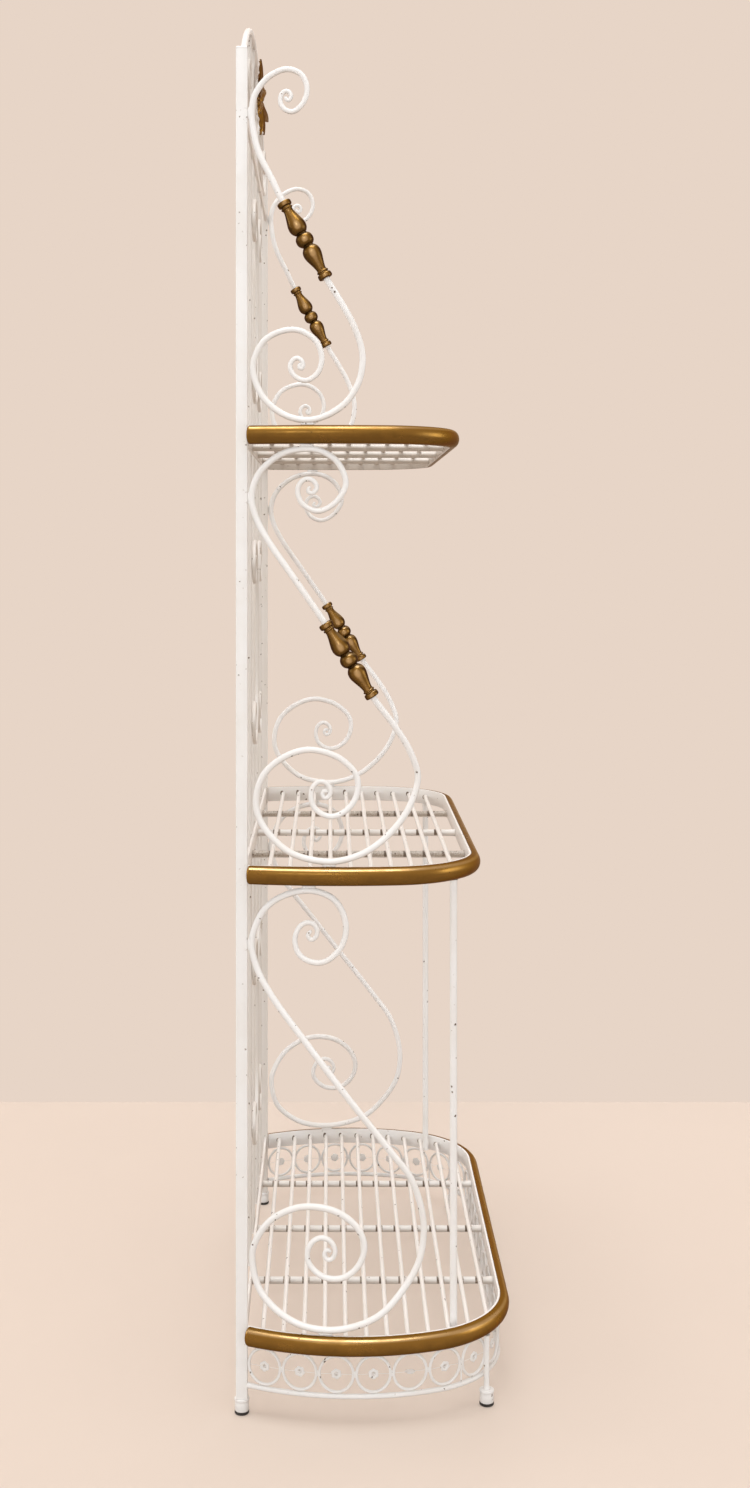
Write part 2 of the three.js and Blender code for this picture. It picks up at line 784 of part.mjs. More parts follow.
// A C-shaped scroll whose ends curl ever tighter, in a box that its back closes on one side.
const panelScrollPoints = (length, width) => {
  const halfSteps = 90;
  const points = [new THREE.Vector2(0, 0)];
  for (let index = 0; index < halfSteps * 2; index += 1) {
    const share = (index + 1 / 2) / halfSteps - 1;
    const heading = Math.sign(share) * Math.PI * 2 * panelScrollTurns * Math.abs(share) ** panelScrollEase;
    const step = new THREE.Vector2(Math.sin(heading), Math.cos(heading));
    points.push(points[points.length - 1].clone().add(step));
  }
  const extent = new THREE.Box2().setFromPoints(points);
  const size = extent.getSize(new THREE.Vector2());
  return points.map((point) => ({
    across: ((point.x - extent.min.x) / size.x) * width,
    along: ((point.y - extent.min.y) / size.y) * length,
  }));
};

const panelRod = (points) =>
  sweep(thinned(points, panelTurn), roundSection(panelRodRadius, panelRodFlats));

const makePanelScroll = (side, under, ceiling) => {
  const width = innerSpan / barFields - backSpread;
  const base = (shelfTop(under) + ceiling - panelScrollHeight) / 2;
  const points = panelScrollPoints(panelScrollHeight, width).map(
    ({ across, along }) =>
      new THREE.Vector3(side * (backSpread + across), postFront - panelForward, base + along),
  );
  return panelRod(points);
};

const makeCrestScroll = (side) => {
  const base = crestRailTop + gap + panelRodRadius;
  const length = innerSpan / 2 - crestScrollSetback - crestScrollStart;
  const points = panelScrollPoints(length, crestScrollHeight).map(
    ({ across, along }) =>
      new THREE.Vector3(side * (crestScrollStart + along), postFront - panelForward, base + across),
  );
  return panelRod(points);
};

const makeLeaf = ({ turn, share }) => {
  const length = leafLength * share;
  const edge = leafOutlineShares.map(
    ([half, along]) => new THREE.Vector2(half * leafWidth, along * length),
  );
  const mirrored = edge.slice(1, -1).reverse().map((point) => new THREE.Vector2(-point.x, point.y));
  const geometry = new THREE.ExtrudeGeometry(new THREE.Shape([...edge, ...mirrored]), {
    depth: leafThickness,
    bevelEnabled: false,
  });
  geometry.translate(0, 0, -leafThickness / 2);
  geometry.rotateX(Math.PI / 2 + radians(leafLean));
  return geometry.rotateY(radians(turn));
};

const makeLeafCluster = () => {
  const depth = -barForward - barRadius - gap;
  const boss = new THREE.SphereGeometry(leafBossRadius, bossFlats, bossFlats);
  boss.rotateX(Math.PI / 2);
  boss.scale(1, depth / leafBossRadius, 1);
  const geometry = joined([boss, ...leafPlaces.map(makeLeaf)]);
  return geometry.translate(0, postFront, archCrown - leafDrop);
};

// The rack

for (const [name, side] of Object.entries(sides)) {
  addPiece(`${name}_post`, makePost(side), whitePaint);
  addPiece(`${name}_post_cap`, makeCap(side), whitePaint);
  addPiece(`${name}_front_leg`, makeLeg(side), whitePaint);
  addPiece(`${name}_front_upright`, makeUpright(side), whitePaint);
  const feet = {
    rear: place(side, -postSize / 2, -postSize / 2, 0),
    front: place(side, legPlace.outward, legPlace.forward, 0),
  };
  for (const [end, centre] of Object.entries(feet)) {
    addPiece(`${name}_${end}_cup`, makeCup(centre), whitePaint);
    addPiece(`${name}_${end}_glide`, makeGlide(centre), blackRubber);
  }
  for (const [level, line] of Object.entries(levels)) {
    addPiece(`${name}_${level}_scroll`, makeScroll(side, line), whitePaint);
    if (line.straight) {
      addPiece(`${name}_${level}_baluster`, makeBaluster(side, line), agedBrass);
    }
  }
  const bays = [
    ["lower", shelves.bottom, shelves.middle.underside],
    ["middle", shelves.middle, shelves.top.underside],
    ["upper", shelves.top, crestRailTop - crestRailHeight],
  ];
  for (const [bay, under, ceiling] of bays) {
    addPiece(`${name}_${bay}_back_scroll`, makePanelScroll(side, under, ceiling), whitePaint);
  }
  addPiece(`${name}_crest_scroll`, makeCrestScroll(side), whitePaint);
}

for (const [name, shelf] of Object.entries(shelves)) {
  addPiece(`${name}_shelf_band`, makeBand(shelf), whitePaint);
  addPiece(`${name}_shelf_rim`, makeRim(shelf), agedBrass);
  addPiece(`${name}_shelf_grille`, makeGrille(shelf), whitePaint);
  addPiece(`${name}_back_rail`, makeBackRail(shelfTop(shelf), rimHeight), whitePaint);
}

addPiece("apron_rod", makeApronRod(), whitePaint);
addPiece("left_apron_rings", makeRingChain(0, ringsPerEnd), whitePaint);
addPiece("front_apron_rings", makeRingChain(ringsPerEnd, ringCount - ringsPerEnd), whitePaint);
addPiece("right_apron_rings", makeRingChain(ringCount - ringsPerEnd, ringCount), whitePaint);

for (let index = 1; index < barFields; index += 1) {
  const x = innerSpan * (index / barFields - 1 / 2);
  addPiece(`back_bar_${index}`, makeBar(x), whitePaint);
}
addPiece("crest_rail", makeBackRail(crestRailTop, crestRailHeight), whitePaint);
addPiece("crest_arch", makeArch(), whitePaint);
addPiece("crest_leaf_cluster", makeLeafCluster(), agedBrass);

export default rack;
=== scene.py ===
import math
import random

import bmesh
import bpy
from bpy.props import FloatProperty, FloatVectorProperty, PointerProperty
from mathutils import Matrix, Vector
from mathutils.kdtree import KDTree


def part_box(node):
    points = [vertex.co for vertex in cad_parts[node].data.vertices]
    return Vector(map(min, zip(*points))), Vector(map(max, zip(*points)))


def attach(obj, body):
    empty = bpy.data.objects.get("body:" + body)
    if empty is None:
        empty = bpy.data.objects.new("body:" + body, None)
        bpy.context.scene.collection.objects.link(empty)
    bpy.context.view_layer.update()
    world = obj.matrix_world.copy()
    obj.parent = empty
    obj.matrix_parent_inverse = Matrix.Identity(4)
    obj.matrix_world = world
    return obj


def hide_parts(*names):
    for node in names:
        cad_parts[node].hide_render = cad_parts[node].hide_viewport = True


bl_info = {
    "name": "Bakers Rack",
    "version": (1, 0, 0),
    "blender": (4, 5, 0),
    "location": "3D View > Sidebar > Bakers Rack",
    "description": "Models a painted bakers rack with brass rims around its frame",
    "category": "Add Mesh",
}

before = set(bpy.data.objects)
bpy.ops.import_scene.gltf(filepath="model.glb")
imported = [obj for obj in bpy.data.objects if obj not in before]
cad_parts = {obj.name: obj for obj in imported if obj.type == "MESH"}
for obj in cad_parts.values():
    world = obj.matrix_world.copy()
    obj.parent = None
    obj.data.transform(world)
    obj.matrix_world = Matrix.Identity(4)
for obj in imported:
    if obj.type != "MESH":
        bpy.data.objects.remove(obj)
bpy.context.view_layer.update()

MM = 0.001
UP = Vector((0, 0, 1))
BACK = Vector((0, 1, 0))
# How far a hexagon's sides lie from its middle, as a share of the distance of its corners
HEXAGON = math.cos(math.pi / 6)
SIDES = {"left": -1, "right": 1}
SHELVES = ("bottom", "middle", "top")
RAILS = ("bottom_back_rail", "middle_back_rail", "top_back_rail", "crest_rail")
BACK_BARS = [f"back_bar_{index}" for index in range(1, 6)]
# The brass material also holds painted shade and painted highlights; the paint material holds painted shade.
PAINT, BRASS, RUBBER = "White paint", "Aged brass", "Black rubber"

post_low, post_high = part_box("right_post")
POST_FRONT = post_low.y
POST_OUTSIDE = post_high.x
POST_SIZE = post_high.x - post_low.x


def place(side, outward, forward, height):
    """A point from its distances beyond the posts' outer faces and ahead of their front faces."""
    return Vector((SIDES[side] * (POST_OUTSIDE + outward), POST_FRONT - forward, height))


def box_of(node):
    """The lowest corner, the middle and the highest corner of a node's box."""
    low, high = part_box(node)
    return low, (low + high) / 2, high


# Outlines, as shares of the sizes that they follow

APEX_SHARE = 0.41
CROSSBARS = [share * POST_OUTSIDE * 2 for share in (-0.25, 0, 0.25)]
# The shelves under and over each scroll, and its outline above and below its baluster.
SCROLLS = {
    "lower": ("bottom", "middle", (
        (0.341, 0.905), (0.328, 0.897), (0.347, 0.887), (0.373, 0.893), (0.382, 0.908), (0.366, 0.921),
        (0.336, 0.926), (0.298, 0.922), (0.268, 0.908), (0.253, 0.883), (0.282, 0.851), (0.361, 0.835),
        (0.437, 0.839), (0.518, 0.869), (0.549, 0.908), (0.529, 0.951), (0.469, 0.983), (0.34, 1),
        (0.182, 0.986), (0.08, 0.956), (0.022, 0.914), (0, 0.871), (0.033, 0.815), (0.112, 0.758),
        (0.323, 0.647), (0.569, 0.521), (0.798, 0.406), (0.925, 0.337), (0.989, 0.262), (1, 0.211),
        (0.973, 0.149), (0.884, 0.089), (0.734, 0.029), (0.523, 0), (0.329, 0.001), (0.179, 0.024),
        (0.051, 0.072), (0.007, 0.129), (0.013, 0.173), (0.102, 0.233), (0.24, 0.268), (0.363, 0.276),
        (0.5, 0.265), (0.612, 0.231), (0.654, 0.19), (0.626, 0.148), (0.538, 0.118), (0.426, 0.117),
        (0.34, 0.144), (0.327, 0.172), (0.357, 0.196), (0.406, 0.206), (0.456, 0.2), (0.484, 0.182),
        (0.48, 0.167), (0.452, 0.157), (0.428, 0.163), (0.427, 0.174), (0.443, 0.18), (0.455, 0.177),
    ), ()),
    "middle": ("middle", "top", (
        (0.346, 0.905), (0.34, 0.897), (0.364, 0.892), (0.392, 0.905), (0.377, 0.92), (0.34, 0.927),
        (0.301, 0.92), (0.278, 0.9), (0.304, 0.868), (0.395, 0.849), (0.499, 0.868), (0.566, 0.914),
        (0.521, 0.965), (0.427, 0.993), (0.326, 1), (0.188, 0.989), (0.074, 0.956), (0.018, 0.92),
        (0, 0.877), (0.029, 0.83), (0.098, 0.778), (0.257, 0.685), (0.45, 0.571),
    ), (
        (0.72, 0.404), (0.863, 0.325), (0.947, 0.27), (1, 0.211), (0.994, 0.177), (0.935, 0.119),
        (0.821, 0.062), (0.677, 0.02), (0.516, 0), (0.391, 0.001), (0.236, 0.019), (0.122, 0.056),
        (0.044, 0.102), (0.026, 0.148), (0.072, 0.207), (0.186, 0.249), (0.32, 0.269), (0.433, 0.265),
        (0.546, 0.245), (0.628, 0.209), (0.638, 0.171), (0.597, 0.134), (0.516, 0.111), (0.451, 0.11),
        (0.379, 0.129), (0.358, 0.16), (0.378, 0.184), (0.417, 0.193), (0.457, 0.186), (0.474, 0.17),
        (0.465, 0.158), (0.441, 0.153), (0.426, 0.162), (0.434, 0.17), (0.449, 0.169),
    )),
    "crown": ("top", None, (
        (0.308, 0.918), (0.33, 0.911), (0.357, 0.922), (0.345, 0.933), (0.316, 0.938), (0.28, 0.933),
        (0.26, 0.914), (0.274, 0.896), (0.312, 0.884), (0.364, 0.879), (0.418, 0.887), (0.466, 0.904),
        (0.494, 0.925), (0.5, 0.944), (0.489, 0.962), (0.457, 0.981), (0.402, 0.994), (0.298, 1),
        (0.161, 0.982), (0.076, 0.955), (0.022, 0.925), (0, 0.881), (0.036, 0.795), (0.094, 0.744),
        (0.179, 0.691), (0.298, 0.615),
    ), (
        (0.661, 0.411), (0.802, 0.337), (0.917, 0.271), (0.986, 0.21), (1, 0.167), (0.962, 0.106),
        (0.846, 0.049), (0.669, 0.012), (0.491, 0), (0.286, 0.017), (0.108, 0.065), (0.018, 0.131),
        (0.027, 0.179), (0.123, 0.23), (0.286, 0.255), (0.433, 0.255), (0.58, 0.224), (0.633, 0.177),
        (0.595, 0.134), (0.491, 0.113), (0.389, 0.126), (0.348, 0.153), (0.371, 0.17), (0.409, 0.177),
        (0.446, 0.171), (0.467, 0.157), (0.449, 0.146), (0.43, 0.151), (0.434, 0.158),
    )),
}
# Radius and length of a baluster, from one end to the ball in its middle.
BALUSTER_SHARES = (
    (0.62, 0), (0.74, 0.006), (0.79, 0.022), (0.77, 0.048), (0.66, 0.062), (0.55, 0.068), (0.55, 0.074),
    (0.64, 0.08), (0.66, 0.087), (0.62, 0.096), (0.54, 0.103), (0.53, 0.12), (0.59, 0.155), (0.71, 0.2),
    (0.86, 0.25), (0.97, 0.295), (1, 0.33), (0.95, 0.365), (0.8, 0.395), (0.65, 0.413), (0.58, 0.42),
    (0.66, 0.43), (0.82, 0.447), (0.94, 0.47), (0.985, 0.5),
)
CUP_SHARES = (
    (0.9, 0), (0.93, 0.03), (0.93, 0.62), (0.9, 0.7), (0.9, 0.74), (0.97, 0.8), (1, 0.85), (1, 0.93),
    (0.97, 0.975), (0.88, 1),
)
GLIDE_SHARES = ((0.82, 0), (0.93, 0.12), (1, 0.32), (1, 0.86), (0.96, 1))
ROSETTE_SHARES = (
    (0.2, -1), (0.55, -0.85), (0.86, -0.5), (1, -0.18), (1, 0.18), (0.92, 0.55), (0.76, 0.9),
    (0.6, 1), (0.5, 0.7), (0.42, 0.2), (0.32, -0.1), (0.12, -0.2),
)
# Soil of each ring of a rosette, from the back to the front: grime, and painted shade in its dimple.
ROSETTE_SOIL_AND_SHADE = [0, 0, 0, 0.1, 0.15, 0.05, 0, 0, 0.1, 0.3, 0.42, 0.45]
LEAF_SHARES = (
    (0, 0.06), (0.2, 0.12), (0.34, 0.2), (0.3, 0.28), (0.4, 0.36), (0.5, 0.45), (0.41, 0.54),
    (0.42, 0.62), (0.33, 0.72), (0.24, 0.82), (0.11, 0.93), (0, 1),
)
BOSS_SHARES = (
    (0.15, 1), (0.42, 0.92), (0.55, 0.8), (0.62, 0.7), (0.8, 0.6), (0.94, 0.35), (1, 0), (0.94, -0.4),
    (0.7, -0.8), (0.4, -1),
)
# Turn of each leaf from upright, in degrees, and its length.
LEAVES = (
    (0, 0.44), (40, 0.5), (-40, 0.5), (67, 0.76), (-67, 0.76), (91, 1), (-91, 1), (116, 0.64),
    (-116, 0.64), (180, 0.42),
)


def length(name, description, default):
    return FloatProperty(
        name=name, description=description, default=default, min=0, unit="LENGTH", precision=5
    )


def lengths(name, description, default):
    return FloatVectorProperty(
        name=name, description=description, default=default, size=3, unit="LENGTH"
    )


def colour(name, description, default):
    return FloatVectorProperty(
        name=name, description=description, default=default, size=3, min=0, max=1, subtype="COLOR"
    )


class RackSizes(bpy.types.PropertyGroup):
    """Sizes of the stock that the rack is made of"""

    bulges: lengths("End bulges", "Bulge of each shelf's ends, from the floor up", (0.034, 0.014, 0.012))
    corners: lengths("Corner radii", "Front corners of each shelf, from the floor up", (0.150, 0.130, 0.120))
    band: length("Band", "Thickness of the painted band inside each rim", 0.0035)
    slat: length("Slat radius", "Radius of the rods that run along a shelf", 0.0035)
    slat_pitch: length("Slat pitch", "Distance between two slats", 0.030)
    slat_height: length("Slat height", "Slat centres above a shelf's underside", 0.014)
    crossbar: length("Crossbar radius", "Radius of the rods under the slats", 0.0054)
    scroll: length("Scroll radius", "Radius of the rods of the end scrolls", 0.00475)
    pad: length("Pad thickness", "Weld pads between a scroll and the shelves", 0.0022)
    tab: length("Tab thickness", "Weld tab between a scroll and its post", 0.001)
    pad_length: length("Pad length", "Length of the weld pads", 0.020)
    baluster: length("Baluster radius", "Largest radius of a baluster", 0.0134)
    baluster_length: length("Baluster length", "Length of a baluster", 0.127)
    ring_pitch: length("Ring pitch", "Distance between two rings of the apron", 0.0535)
    ring_wire: length("Ring wire radius", "Radius of the wire of the rings", 0.00215)
    rosette: length("Rosette radius", "Radius of the rosettes in the rings", 0.0072)
    panel_rod: length("Panel rod radius", "Radius of the scrolls in the back panel", 0.0032)
    leaf: length("Leaf length", "Length of the longest leaf", 0.140)
    leaf_width: length("Leaf width", "Width of a leaf", 0.027)
    gap: length("Gap", "Clearance between two pieces of the frame", 0.0003)


class RackColours(bpy.types.PropertyGroup):
    """Colours of the rack and of the stage"""

    paint: colour("Paint", "Main colour of the white paint", (0.888, 0.88, 0.865))
    # Paint shade is both the aged tone of the paint and the colour of the painted shade on sides and
    # undersides.
    paint_shade: colour("Paint shade", "Aged tone of the paint", (0.78, 0.73, 0.665))
    # Grime marks welds and chips, and is also mixed into the painted shade.
    grime_and_shade: colour("Grime", "Soiled paint round a weld or a chip", (0.33, 0.26, 0.19))
    rust: colour("Rust", "Bare metal under a chip", (0.085, 0.055, 0.035))
    brass: colour("Brass", "Lacquered brass", (0.285, 0.153, 0.03))
    # The patina colour also paints shade on faces that look down and on the edges of the baluster bulges.
    brass_patina_and_shade: colour("Brass patina", "Dark patina of the brass", (0.13, 0.069, 0.016))
    # Painted highlight on the brass: a band along faces that look up, and the middle of the baluster bulges.
    brass_highlight: colour("Worn brass", "Brass where it is rubbed", (0.67, 0.48, 0.25))
    rubber: colour("Rubber", "Black glides", (0.018, 0.016, 0.015))
    floor: colour("Floor", "Floor of the stage", (0.715, 0.605, 0.52))
    wall: colour("Wall", "Backdrop of the stage", (0.80, 0.665, 0.57))


# Curves

CURVE_CUTS = 12
SCROLL_STEP = 2 * MM
FAIRING_PASSES = 70
FAIRING_STRENGTHS = (0.5, -0.52)
KEPT_POINTS = 12
TINY = 1e-12


def smooth_curve(points, per_point):
    """Points along a centripetal Catmull-Rom curve; each given point is kept."""
    count = len(points)
    out = []
    for index in range(count - 1):
        p1, p2 = points[index], points[index + 1]
        p0 = points[index - 1] if index else p1 * 2 - p2
        p3 = points[index + 2] if index + 2 < count else p2 * 2 - p1
        d0, d1, d2 = (math.sqrt((b - a).length) for a, b in ((p0, p1), (p1, p2), (p2, p3)))
        t1 = ((p1 - p0) / d0 - (p2 - p0) / (d0 + d1) + (p2 - p1) / d1) * d1
        t2 = ((p2 - p1) / d1 - (p3 - p1) / (d1 + d2) + (p3 - p2) / d2) * d1
        square, cube = (p2 - p1) * 3 - t1 * 2 - t2, (p1 - p2) * 2 + t1 + t2
        for t in (step / per_point for step in range(per_point)):
            out.append(p1 + t1 * t + square * t**2 + cube * t**3)
    return out + [points[-1]]


def runs_along(points):
    """How far along a way each of its points lies."""
    runs = [0.0]
    for a, b in zip(points, points[1:]):
        runs.append(runs[-1] + (b - a).length)
    return runs


def spaced(points, spacing):
    """The same way, in even steps."""
    runs = runs_along(points)
    count = max(2, round(runs[-1] / spacing))
    out = []
    index = 0
    for step in range(count + 1):
        target = runs[-1] * step / count
        while index < len(points) - 2 and runs[index + 1] < target:
            index += 1
        share = (target - runs[index]) / max(runs[index + 1] - runs[index], TINY)
        out.append(points[index].lerp(points[index + 1], min(share, 1)))
    return out


def rod_way(points):
    """A smooth way of even steps through a rod's points, without small bumps except near its ends."""
    way = spaced(smooth_curve(points, CURVE_CUTS), SCROLL_STEP)
    last = len(way) - 1
    hold = [min(1, max(0, min(index, last - index) / KEPT_POINTS - 0.5)) for index in range(last + 1)]
    for strength in FAIRING_STRENGTHS * FAIRING_PASSES:
        moved = [
            way[i] + ((way[i - 1] + way[i + 1]) / 2 - way[i]) * strength * hold[i] for i in range(1, last)
        ]
        way = [way[0], *moved, way[-1]]
    return way


# Meshes

SHARP_ANGLE = math.radians(38)
DOME_TURNS = (0.5, 1.0, 1.35)
BEAD_ROWS = 7
BEAD_SIDES = 10


class Shape:
    """Points and faces of one piece, and the places of its welds."""

    def __init__(self, shade=0.0):
        self.points = []
        self.faces = []
        self.soil = []
        self.welds = []
        self.weld_soil = 0.4
        self.weld_reach = 7 * MM
        # shade is painted shade on a piece; bulge_sheen says how much painted highlight and painted edge
        # shade a point of a baluster gets.
        self.tones = {"shade": shade, "bulge_sheen": 0.0}

    def add(self, points, faces, soil=0.0):
        base = len(self.points)
        self.points.extend(points)
        self.soil.extend(soil if isinstance(soil, list) else [soil] * len(points))
        self.faces.extend(tuple(base + corner for corner in face) for face in faces)

    def loft(self, rings, soil=0.0):
        """Joins closed rings of equal size, and closes both ends. Soil may be a list, one for each ring."""
        size = len(rings[0])
        if isinstance(soil, list):
            soil = [value for value in soil for _ in range(size)]
        faces = [tuple(reversed(range(size))), tuple(range((len(rings) - 1) * size, len(rings) * size))]
        for row in range(0, (len(rings) - 1) * size, size):
            for column in range(size):
                after = (column + 1) % size
                faces.append((row + column, row + after, row + size + after, row + size + column))
        self.add([point for ring in rings for point in ring], faces, soil)

    def tube(self, way, radius, sides=16, round_ends=False, soil=0.0):
        """A round rod along a way. The radius is a number, or one for each point."""
        radii = radius if isinstance(radius, list) else [radius] * len(way)
        last = len(way) - 1
        tangents = [(way[min(i + 1, last)] - way[max(i - 1, 0)]).normalized() for i in range(len(way))]
        normal = tangents[0].orthogonal().normalized()
        rings = []
        for index, (point, tangent) in enumerate(zip(way, tangents)):
            if index:
                normal = tangents[index - 1].rotation_difference(tangent) @ normal
            side = tangent.cross(normal).normalized()
            rings.append(circle(point, normal, side, radii[index], sides))
            if round_ends and index in (0, last):
                direction = tangent if index else -tangent
                dome = []
                for turn in DOME_TURNS:
                    centre = point + direction * radii[index] * math.sin(turn)
                    dome.append(circle(centre, normal, side, radii[index] * math.cos(turn), sides))
                rings = rings + dome if index else dome[::-1] + rings
        self.loft(rings, soil)

    def lathe(self, profile, matrix, sides=36, lobes=0, lobe_share=0.0, soil=0.0):
        """Turns (radius, height) pairs round Z, then places them by the matrix."""
        angles = [2 * math.pi * k / sides for k in range(sides)]
        reaches = [1 + lobe_share * math.cos(lobes * angle) for angle in angles]
        rings = [
            [
                matrix @ Vector((radius * reach * math.cos(angle), radius * reach * math.sin(angle), height))
                for angle, reach in zip(angles, reaches)
            ]
            for radius, height in profile
        ]
        self.loft(rings, soil)

    def bead(self, centre, size, turn=None, soil=0.0):
        """A lump of weld, as long, wide and high as size says."""
        turns = [math.pi * row / BEAD_ROWS for row in range(1, BEAD_ROWS)]
        matrix = Matrix.LocRotScale(centre, turn, Vector(size) / 2)
        self.lathe([(math.sin(turn), math.cos(turn)) for turn in turns], matrix, BEAD_SIDES, soil=soil)


def circle(centre, normal, side, radius, sides):
    angles = (2 * math.pi * k / sides for k in range(sides))
    return [centre + (normal * math.cos(a) + side * math.sin(a)) * radius for a in angles]


def rounded_rectangle(width, height, radius, steps=4):
    """Corners of a rectangle round the origin, as (x, y) pairs that run anticlockwise."""
    out = []
    for quarter, (sx, sy) in enumerate(((1, 1), (-1, 1), (-1, -1), (1, -1))):
        for step in range(steps + 1):
            angle = (quarter + step / steps) * math.pi / 2
            out.append((
                sx * (width / 2 - radius) + radius * math.cos(angle),
                sy * (height / 2 - radius) + radius * math.sin(angle),
            ))
    return out


def make_piece(name, shape, finish, *nodes):
    """Makes the mesh of a shape, gives it its finish and rides it on the frame."""
    look = bpy.data.materials[finish]
    mesh = bpy.data.meshes.new(name)
    mesh.from_pydata([tuple(p) for p in shape.points], [], shape.faces)
    work = bmesh.new()
    work.from_mesh(mesh)
    bmesh.ops.recalc_face_normals(work, faces=work.faces)
    for edge in work.edges:
        if len(edge.link_faces) == 2 and edge.calc_face_angle(0) > SHARP_ANGLE:
            edge.smooth = False
    for face in work.faces:
        face.smooth = True
    work.to_mesh(mesh)
    work.free()
    soil = list(shape.soil)
    if shape.welds:
        tree = KDTree(len(shape.welds))
        for index, weld in enumerate(shape.welds):
            tree.insert(weld, index)
        tree.balance()
        for index, point in enumerate(shape.points):
            near = 1 - tree.find(point)[2] / shape.weld_reach
            soil[index] = max(soil[index], near * shape.weld_soil)
    mesh.attributes.new("soil", "FLOAT", "POINT").data.foreach_set("value", soil)
    for title, tone in shape.tones.items():
        values = [tone(point) if callable(tone) else tone for point in shape.points]
        mesh.attributes.new(title, "FLOAT", "POINT").data.foreach_set("value", values)
    mesh.materials.append(look)
    piece = bpy.data.objects.new(name, mesh)
    bpy.context.scene.collection.objects.link(piece)
    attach(piece, "root")
    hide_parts(*nodes)


# The plan of a shelf

PLAN_STEP = 5 * MM
FRONT_STEP = 20 * MM


class Plan:
    """One shelf's outline: on each side an end arc from the post and a corner arc, then the front."""

    def __init__(self, name):
        sizes = bpy.context.scene.rack_sizes
        index = SHELVES.index(name)
        low, middle, high = box_of(f"{name}_shelf_band")
        self.depth = POST_FRONT - low.y
        self.underside, self.middle, self.top = low.z, middle.z, high.z
        bulge, self.corner = sizes.bulges[index], sizes.corners[index]
        self.apex = self.depth * APEX_SHARE
        self.end = (self.apex**2 + bulge**2) / (2 * bulge)
        self.corner_forward = self.depth - self.corner
        spacing = self.end - self.corner
        rise = self.corner_forward - self.apex
        self.end_outward = bulge - self.end
        self.corner_outward = self.end_outward + math.sqrt(spacing**2 - rise**2)
        self.join = math.asin(rise / spacing)
        room = self.depth - sizes.band
        count = int(room / sizes.slat_pitch)
        first = (room - (count - 1) * sizes.slat_pitch) / 2
        self.slats = [first + index * sizes.slat_pitch for index in range(count)]

    def outward_at(self, forward, inset=0.0):
        end = self.end - inset
        if forward <= self.apex + end * math.sin(self.join):
            return self.end_outward + math.sqrt(end**2 - (forward - self.apex) ** 2)
        corner = self.corner - inset
        return self.corner_outward + math.sqrt(max(corner**2 - (forward - self.corner_forward) ** 2, 0))

    def way(self, inset, height):
        """Points of the outline with the directions that face out, from the left post to the right."""
        end, corner = self.end - inset, self.corner - inset
        start = math.asin((bpy.context.scene.rack_sizes.gap - self.apex) / end)
        stretches = (
            (self.end_outward, self.apex, end, start, self.join, 0),
            (self.corner_outward, self.corner_forward, corner, self.join, math.pi / 2, 1),
        )
        places = []
        for outward, forward, radius, first, last, closing in stretches:
            count = math.ceil((last - first) * radius / PLAN_STEP)
            for index in range(count + closing):
                angle = first + (last - first) * index / count
                across, ahead = radius * math.cos(angle), radius * math.sin(angle)
                places.append((outward + across, forward + ahead, angle))
        out = []
        for side, order in (("left", places), ("right", reversed(places))):
            for outward, forward, angle in order:
                facing = Vector((SIDES[side] * math.cos(angle), -math.sin(angle), 0))
                out.append((place(side, outward, forward, height), facing))
        middle = len(places)
        (a, facing), (b, _) = out[middle - 1], out[middle]
        flats = math.ceil((b - a).length / FRONT_STEP)
        front = [(a.lerp(b, k / flats), facing.copy()) for k in range(1, flats)]
        return out[:middle] + front + out[middle:]


def sweep_plan(shape, way, section):
    """Sweeps (outward, up) pairs along a plan. The section makes them for each run from an end."""
    runs = runs_along([point for point, _ in way])
    rings = []
    for run, (point, out) in zip(runs, way):
        pairs = section(min(run, runs[-1] - run))
        rings.append([point + out * reach + UP * rise for reach, rise in pairs])
    shape.loft(rings)


# Finishes. A range runs from where an effect begins to where it is full.

PATCH_NOISE = {"Detail": 4.0, "Roughness": 0.6}
PATCH_RANGE = (0.38, 0.7)
GRAIN_NOISE = {"Detail": 3.0, "Roughness": 0.55}
RUN_NOISE = {"Scale": 90.0, "Detail": 1.0}
RUN_HEIGHT = 2.0
WARP_NOISE = {"Scale": 420.0, "Detail": 2.0}
WARP = (0.004, 0.004, 0.004)
CHIP_SOIL_SHARE = 0.6
CHIP_SPREAD, CHIP_LEAST = 1.5, 0.6
CHIP_CORE, CHIP_RIM = 0.75, 1.6

PAINT_COAT = {"Patch Scale": 11.0, "Grain Scale": 420.0}
PAINT_CHIPS = {"Density": 46.0, "Size": 0.055, "Amount": 0.09}
PAINT_SPECKS = {"Density": 210.0, "Size": 0.16, "Amount": 0.035}
PAINT_BUMP = {"Strength": 0.14, "Distance": 0.0005}
PAINT_GLOSS = {"Coat Weight": 0.15, "Coat Roughness": 0.25}
# Painted shade on the paint: on faces that look down, and on faces turned aside as far as a piece's shade
# value says.
PAINT_BELOW, PAINT_SHADED_FACING = (-0.35, -0.95), (0.4, -0.3)
BELOW_CLEAN, BELOW_SHADE = -0.9, 0.6
AGED_PATCHES, SHADE_TONE_SHARE = 0.3, 0.6
SHADE_GRIME_SHARE, SHADE_STRENGTH = 0.6, 0.8
GRAIN_SPOTS = 0.8
STAIN_SOIL, STAIN_SPOTS, STAIN_STRENGTH = (0.05, 0.3), (0.6, 1.05), 0.8
RUST_SPOTS, RUST_STRENGTH = (1.05, 1.3), 0.85
CHIP_RING = 0.45
PAINT_ROUGHNESS, PAINT_PATCH_ROUGHNESS, BARE_ROUGHNESS, BARE_DEPTH = 0.34, 0.12, 0.3, -3.0

